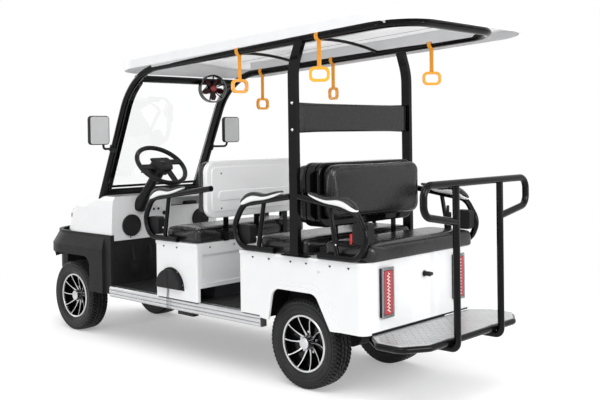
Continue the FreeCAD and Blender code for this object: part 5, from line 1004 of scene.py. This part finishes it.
# outline of the centre pad, and its layers as height and how far each draws in, in mm
HORN_OUTLINE = ((-86, -56), (86, -56), (86, 4), (56, 72), (-56, 72), (-86, 4))
HORN_LAYERS = ((18, 4), (21, 5.5), (24, 10), (26, 20), (27, 38))
# on the column, counted from the wheel's centre
LEFT_SWITCH = ((0.028, -0.026, -0.086), (0.082, 0.026, -0.036))
RIGHT_SWITCH = ((-0.074, -0.022, -0.080), (-0.028, 0.022, -0.040))
STALK_POINTS = ((0.075, 0, -0.058), (0.115, 0.004, -0.056), (0.150, 0.010, -0.050))


def make_wheel_details():
    """Domed centre pad with its button, and the switches and stalk on the column."""
    pad, button, switches = bmesh.new(), bmesh.new(), bmesh.new()
    sections = []
    for height, shrink in HORN_LAYERS:
        outline = [Vector((x, y, 0)) * (1 - shrink / math.hypot(x, y)) for x, y in HORN_OUTLINE]
        sections.append([WHEEL_FRAME @ (Vector((point.x, point.y, height)) * MM)
                         for point in rounded(outline, 22, 5)])
    add_loft(pad, sections)
    new_piece("horn_pad", pad, dark_rubber, "steering_wheel_body", 45)
    add_lathe(button, ((0, 2), (17, 1.6), (20, 0.2), (20, -2)), 48,
              WHEEL_FRAME @ Matrix.Translation((0, 2 * MM, 26.6 * MM)))
    new_piece("horn_button", button, gloss_black, "steering_wheel_body")
    add_block(switches, *LEFT_SWITCH, 8 * MM, 3, WHEEL_FRAME)
    add_block(switches, *RIGHT_SWITCH, 7 * MM, 3, WHEEL_FRAME)
    new_piece("column_switches", switches, skirt_black)
    points = [WHEEL_FRAME @ Vector(place) for place in STALK_POINTS]
    pipe("indicator_stalk", points, 4.5 * MM, skirt_black)


make_wheel_details()


# Fan

FAN_TURN = math.radians(20)
FAN_WAY = Vector((math.sin(FAN_TURN), math.cos(FAN_TURN), 0))
FAN_CENTRE = Vector((-0.172, -0.43, 1.757))
FAN_FRONT, FAN_BACK = 23 * MM, 15 * MM
FAN_SCREWS, FAN_SCREW_RADIUS = 6, 88 * MM


def make_fan_details():
    """Red hub cap on the rotor, bright screws and a beading on the ring."""
    cap, ring, screws = bmesh.new(), bmesh.new(), bmesh.new()
    front = facing(FAN_WAY, FAN_CENTRE + FAN_WAY * FAN_FRONT)
    back = facing(FAN_WAY, FAN_CENTRE - FAN_WAY * FAN_BACK)
    add_lathe(cap, ((0, 4), (10, 3.4), (18, 1.6), (21, 0), (21, -3)), 40, front)
    new_piece("fan_cap", cap, hub_red, "fan_rotor_body")
    add_lathe(ring, ((89, -2), (91, 2), (97, 2), (99.5, -2)), 80, front)
    new_piece("fan_beading", ring, gloss_black)
    for index in range(FAN_SCREWS):
        turn = index * math.tau / FAN_SCREWS
        place = Vector((FAN_SCREW_RADIUS * math.cos(turn), FAN_SCREW_RADIUS * math.sin(turn), 0.5 * MM))
        add_screw(screws, back @ place, FAN_WAY, 4, 3)
    new_piece("fan_screws", screws, screw_metal)


make_fan_details()


# Mirrors

MIRROR_X, MIRROR_Y, MIRROR_Z = 0.595, -0.703, 1.467
MIRROR_HALF = Vector((77 * MM, 0, 98 * MM))


def make_mirror_glass():
    """Light grey glass on each mirror's rear face, its grey a painted reflection, in a thin dark rim."""
    for side in SIDES:
        middle = Vector((side * MIRROR_X, MIRROR_Y, MIRROR_Z))
        box = (middle - MIRROR_HALF, middle + MIRROR_HALF)
        glass = bmesh.new()
        add_loft(glass, [panel_outline(*box, 5 * MM, 1, MIRROR_Y + step, 20 * MM, 7)
                         for step in (-2 * MM, 1.2 * MM)])
        new_piece("mirror_painted_reflection_" + SIDE_NAMES[side], glass, mirror_painted_reflection)
        pipe("mirror_rim_" + SIDE_NAMES[side], panel_outline(*box, 3.5 * MM, 1, MIRROR_Y, 22 * MM, 7),
             2.4 * MM, gloss_black, closed=True)


make_mirror_glass()


# Charging cover, rail clamps and buckles

COVER_Y, COVER_Z = -0.068, 0.462
FLANGE_THICK, FLANGE_INNER, FLANGE_OUTER = 3.5 * MM, 0.116, 0.130
FLANGE_STEPS, COVER_SCREW_RADIUS = 24, 0.123
TIE_POINTS = (
    # out from the body, sway along the cart, height
    (0.002, 0, 0.452), (0.004, 0.003, 0.428), (0.0035, -0.002, 0.405), (0.006, 0.002, 0.388),
    (0.006, -0.001, 0.352), (0.004, 0.001, 0.326), (-0.014, 0, 0.318), (-0.03, 0, 0.318),
)
TIE_Y = (-0.108, -0.096)
# low and high corners
RAIL_CLAMP = ((0.425, -0.050, 0.292), (0.470, 0.105, 0.3215))
BUTTON_TOP = ((0.436, 1.386, 0.868), (0.462, 1.402, 0.896))
BUTTON_FRONT = ((0.4565, 1.386, 0.842), (0.463, 1.402, 0.884))
STALK_SLEEVE = ((-0.455, 1.368, 0.846), (-0.428, 1.408, 0.945))
STALK_TONGUE = ((-0.453, 1.384, 0.930), (-0.430, 1.394, 0.985))


def round_cover(degrees, radius):
    """Place on the cover's half circle, on the plane of the body's side."""
    turn = math.radians(degrees)
    return Vector((BODY_X, COVER_Y + radius * math.cos(turn), COVER_Z + radius * math.sin(turn)))


def make_cover_details():
    """Flange, rib and screws of the half-round cover."""
    cover, screws = bmesh.new(), bmesh.new()
    thick = X_WAY * FLANGE_THICK
    sections = []
    for step in range(FLANGE_STEPS + 1):
        degrees = 180 * step / FLANGE_STEPS
        inner, outer = round_cover(degrees, FLANGE_INNER), round_cover(degrees, FLANGE_OUTER)
        sections.append([inner, inner + thick, outer + thick, outer])
    add_loft(cover, sections)
    add_block(cover, (BODY_X, COVER_Y - 0.132, COVER_Z - 8 * MM),
              (BODY_X + FLANGE_THICK, COVER_Y + 0.132, COVER_Z + 4 * MM), 1 * MM, 1)
    add_block(cover, (BODY_X + 20 * MM, COVER_Y - 2 * MM, COVER_Z + 2 * MM),
              (BODY_X + 36.5 * MM, COVER_Y + 2 * MM, COVER_Z + 113 * MM), 1 * MM, 1)
    new_piece("cover_flange", cover, skirt_black)
    for degrees in (12, 58, 122, 168):
        add_screw(screws, round_cover(degrees, COVER_SCREW_RADIUS) + thick, X_WAY, 4)
    new_piece("cover_screws", screws, screw_metal)


def make_ties():
    """Two short ties that hang from the half-round cover and bend in under the body."""
    for number, y in enumerate(TIE_Y):
        line = [Vector((BODY_X + out, y + sway, height)) for out, sway, height in TIE_POINTS]
        pipe("cover_tie_%d" % (number + 1), rounded_line(line), 1.6 * MM, tube_black)


def make_rail_details():
    """Dark strips of painted shade in the two long grooves of each side rail, and the clamps that hold the
    rails.
    """
    grooves, clamps = bmesh.new(), bmesh.new()
    rail_low, rail_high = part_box("side_rails")
    for side in SIDES:
        # painted shade: a dark metal strip at the floor of each groove
        for share in (1 / 3, 2 / 3):
            z = rail_low.z + (rail_high.z - rail_low.z) * share
            add_side_block(grooves, side, (rail_high.x - 3.4 * MM, rail_low.y + 2 * MM, z - 3 * MM),
                           (rail_high.x - 2.4 * MM, rail_high.y - 2 * MM, z + 3 * MM))
        add_side_block(clamps, side, *RAIL_CLAMP, 4 * MM)
    new_piece("rail_groove_shade", grooves, bezel_metal)
    new_piece("rail_clamps", clamps, frame_black)


def make_buckles():
    """Belt buckle with its red button at the rear left, and the stalk at the rear right."""
    button, stalk = bmesh.new(), bmesh.new()
    add_block(button, *BUTTON_TOP, 2 * MM)
    add_block(button, *BUTTON_FRONT, 2 * MM)
    new_piece("buckle_button", button, button_red)
    add_block(stalk, *STALK_SLEEVE, 6 * MM, 3)
    add_block(stalk, *STALK_TONGUE, 4 * MM)
    new_piece("belt_stalk", stalk, skirt_black)


make_cover_details()
make_rail_details()
make_ties()
make_buckles()


# Lamps at the front

LAMP_X, LAMP_Y, LAMP_Z = 0.330, -1.412, 0.845
BOWL = ((0, -26), (10, -25), (28, -18), (42, -6), (50, 6), (54, 6), (54, -30))
BULB = ((0, 6), (7, 3), (10, -6), (8, -24))


def make_lamp_bowls():
    """Chrome reflector and bulb inside each headlamp."""
    for side in SIDES:
        bowl, bulb = bmesh.new(), bmesh.new()
        place = facing((0, -1, 0), (side * LAMP_X, LAMP_Y, LAMP_Z))
        add_lathe(bowl, BOWL, 56, place)
        new_piece("lamp_bowl_" + SIDE_NAMES[side], bowl, bezel_metal)
        add_lathe(bulb, BULB, 28, place)
        new_piece("lamp_bulb_" + SIDE_NAMES[side], bulb, led_white)


make_lamp_bowls()


# Stage, light and camera

FLOOR_HALF, FLOOR_GLOW = 40.0, 0.30
FADE_START, FADE_END = 2.0, 3.6
WORLD_LEVEL = 0.55

PHOTO_WIDTH, PHOTO_HEIGHT = 600, 400
FOCAL_PIXELS = 868.82
CENTRE_PIXEL = (312.27, 144.18)
CAMERA_PLACE = Vector((3.91257, 4.33432, 1.41507))
CAMERA_YAW, CAMERA_PITCH, CAMERA_ROLL = 3.963698, -0.010367, -0.0135445


def seen_rays(made):
    """1 for rays from the camera, through clear sheets and off shiny faces, 0 for the others."""
    path = add(made, "ShaderNodeLightPath").outputs
    clear = maths(made, "MAXIMUM", path["Is Camera Ray"], path["Is Transmission Ray"])
    return maths(made, "MAXIMUM", clear, path["Is Glossy Ray"])


def shader_mix(made, factor, first, second):
    """Mix of two shaders."""
    return add(made, "ShaderNodeMixShader", {0: factor, 1: first, 2: second}).outputs[0]


def make_stage():
    """Pale floor that keeps the cart's shadow."""
    data = bpy.data.meshes.new("studio_floor")
    data.from_pydata([(-FLOOR_HALF, -FLOOR_HALF, 0), (FLOOR_HALF, -FLOOR_HALF, 0),
                      (FLOOR_HALF, FLOOR_HALF, 0), (-FLOOR_HALF, FLOOR_HALF, 0)], [], [(0, 1, 2, 3)])
    floor = bpy.data.objects.new("studio_floor", data)
    bpy.context.scene.collection.objects.link(floor)
    made = new_material("floor_pale", Roughness=0.9, Specular_IOR_Level=0.1)
    speck = remap(made, noise(made, 1.4, 2), 0.0, 1.0)
    plug(made, "Base Color", colour_mix(made, speck, (0.86, 0.86, 0.86, 1), (0.875, 0.875, 0.875, 1)))
    plain = shader_of(made).outputs[0]
    glow = add(made, "ShaderNodeEmission", {"Color": PURE_WHITE, "Strength": FLOOR_GLOW}).outputs[0]
    white = add(made, "ShaderNodeEmission", {"Color": PURE_WHITE, "Strength": 1.0}).outputs[0]
    near = add(made, "ShaderNodeAddShader", {0: plain, 1: glow}).outputs[0]
    away = add(made, "ShaderNodeVectorMath", {0: shape_coordinates(made)}, operation="LENGTH")
    far = remap(made, away.outputs["Value"], 0.0, 1.0, FADE_START, FADE_END)
    surface = shader_mix(made, seen_rays(made), plain, shader_mix(made, far, near, white))
    made.node_tree.links.new(surface, made.node_tree.nodes["Material Output"].inputs["Surface"])
    data.materials.append(made)


def make_world():
    """White surroundings as the camera sees them, plain grey light from them."""
    world = bpy.data.worlds.new("studio")
    bpy.context.scene.world = world
    world.use_nodes = True
    back = world.node_tree.nodes["Background"]
    back.inputs["Color"].default_value = PURE_WHITE
    level = remap(world, seen_rays(world), WORLD_LEVEL, 1.0, 0.0, 1.0)
    world.node_tree.links.new(level, back.inputs["Strength"])


def soft_box(name, place, target, width, height, power):
    """Rectangular studio light aimed at a point."""
    data = bpy.data.lights.new(name, "AREA")
    data.shape = "RECTANGLE"
    data.size, data.size_y = width, height
    data.energy = power
    lamp = bpy.data.objects.new(name, data)
    lamp.location = place
    lamp.rotation_euler = (Vector(target) - Vector(place)).to_track_quat("-Z", "Y").to_euler()
    bpy.context.scene.collection.objects.link(lamp)


def make_camera():
    """Camera where the photograph was taken from."""
    data = bpy.data.cameras.new("camera")
    data.sensor_width = 36.0
    data.lens = FOCAL_PIXELS * data.sensor_width / PHOTO_WIDTH
    data.shift_x = (PHOTO_WIDTH / 2 - CENTRE_PIXEL[0]) / PHOTO_WIDTH
    data.shift_y = (CENTRE_PIXEL[1] - PHOTO_HEIGHT / 2) / PHOTO_WIDTH
    ahead = Vector((math.sin(CAMERA_YAW) * math.cos(CAMERA_PITCH),
                    math.cos(CAMERA_YAW) * math.cos(CAMERA_PITCH),
                    math.sin(CAMERA_PITCH)))
    level = Vector((math.cos(CAMERA_YAW), -math.sin(CAMERA_YAW), 0))
    upright = level.cross(ahead)
    right = math.cos(CAMERA_ROLL) * level + math.sin(CAMERA_ROLL) * upright
    up = math.cos(CAMERA_ROLL) * upright - math.sin(CAMERA_ROLL) * level
    turn = Matrix((right, up, -ahead)).transposed()
    camera = bpy.data.objects.new("camera", data)
    camera.matrix_world = Matrix.Translation(CAMERA_PLACE) @ turn.to_4x4()
    bpy.context.scene.collection.objects.link(camera)
    bpy.context.scene.camera = camera


make_stage()
make_world()
# name, place, the point it looks at, width, height and power
soft_box("key", (3.2, 2.6, 4.6), (0, 0, 0.8), 3.0, 3.0, 112)
soft_box("top", (-0.6, -0.4, 5.2), (0, 0, 0.6), 4.5, 4.5, 118)
soft_box("fill", (0.4, 7.2, 2.8), (0, 0.8, 0.8), 3.0, 2.4, 200)
soft_box("front", (1.6, -6.0, 2.6), (0, -0.6, 0.8), 3.2, 2.4, 58)
soft_box("strip_left", (5.4, -0.8, 1.7), (0, 0.5, 1.0), 0.3, 3.0, 34)
soft_box("strip_rear", (-1.6, 6.2, 1.9), (0, 1.0, 1.0), 0.3, 3.0, 34)
make_camera()
bpy.context.scene.view_settings.view_transform = "Standard"
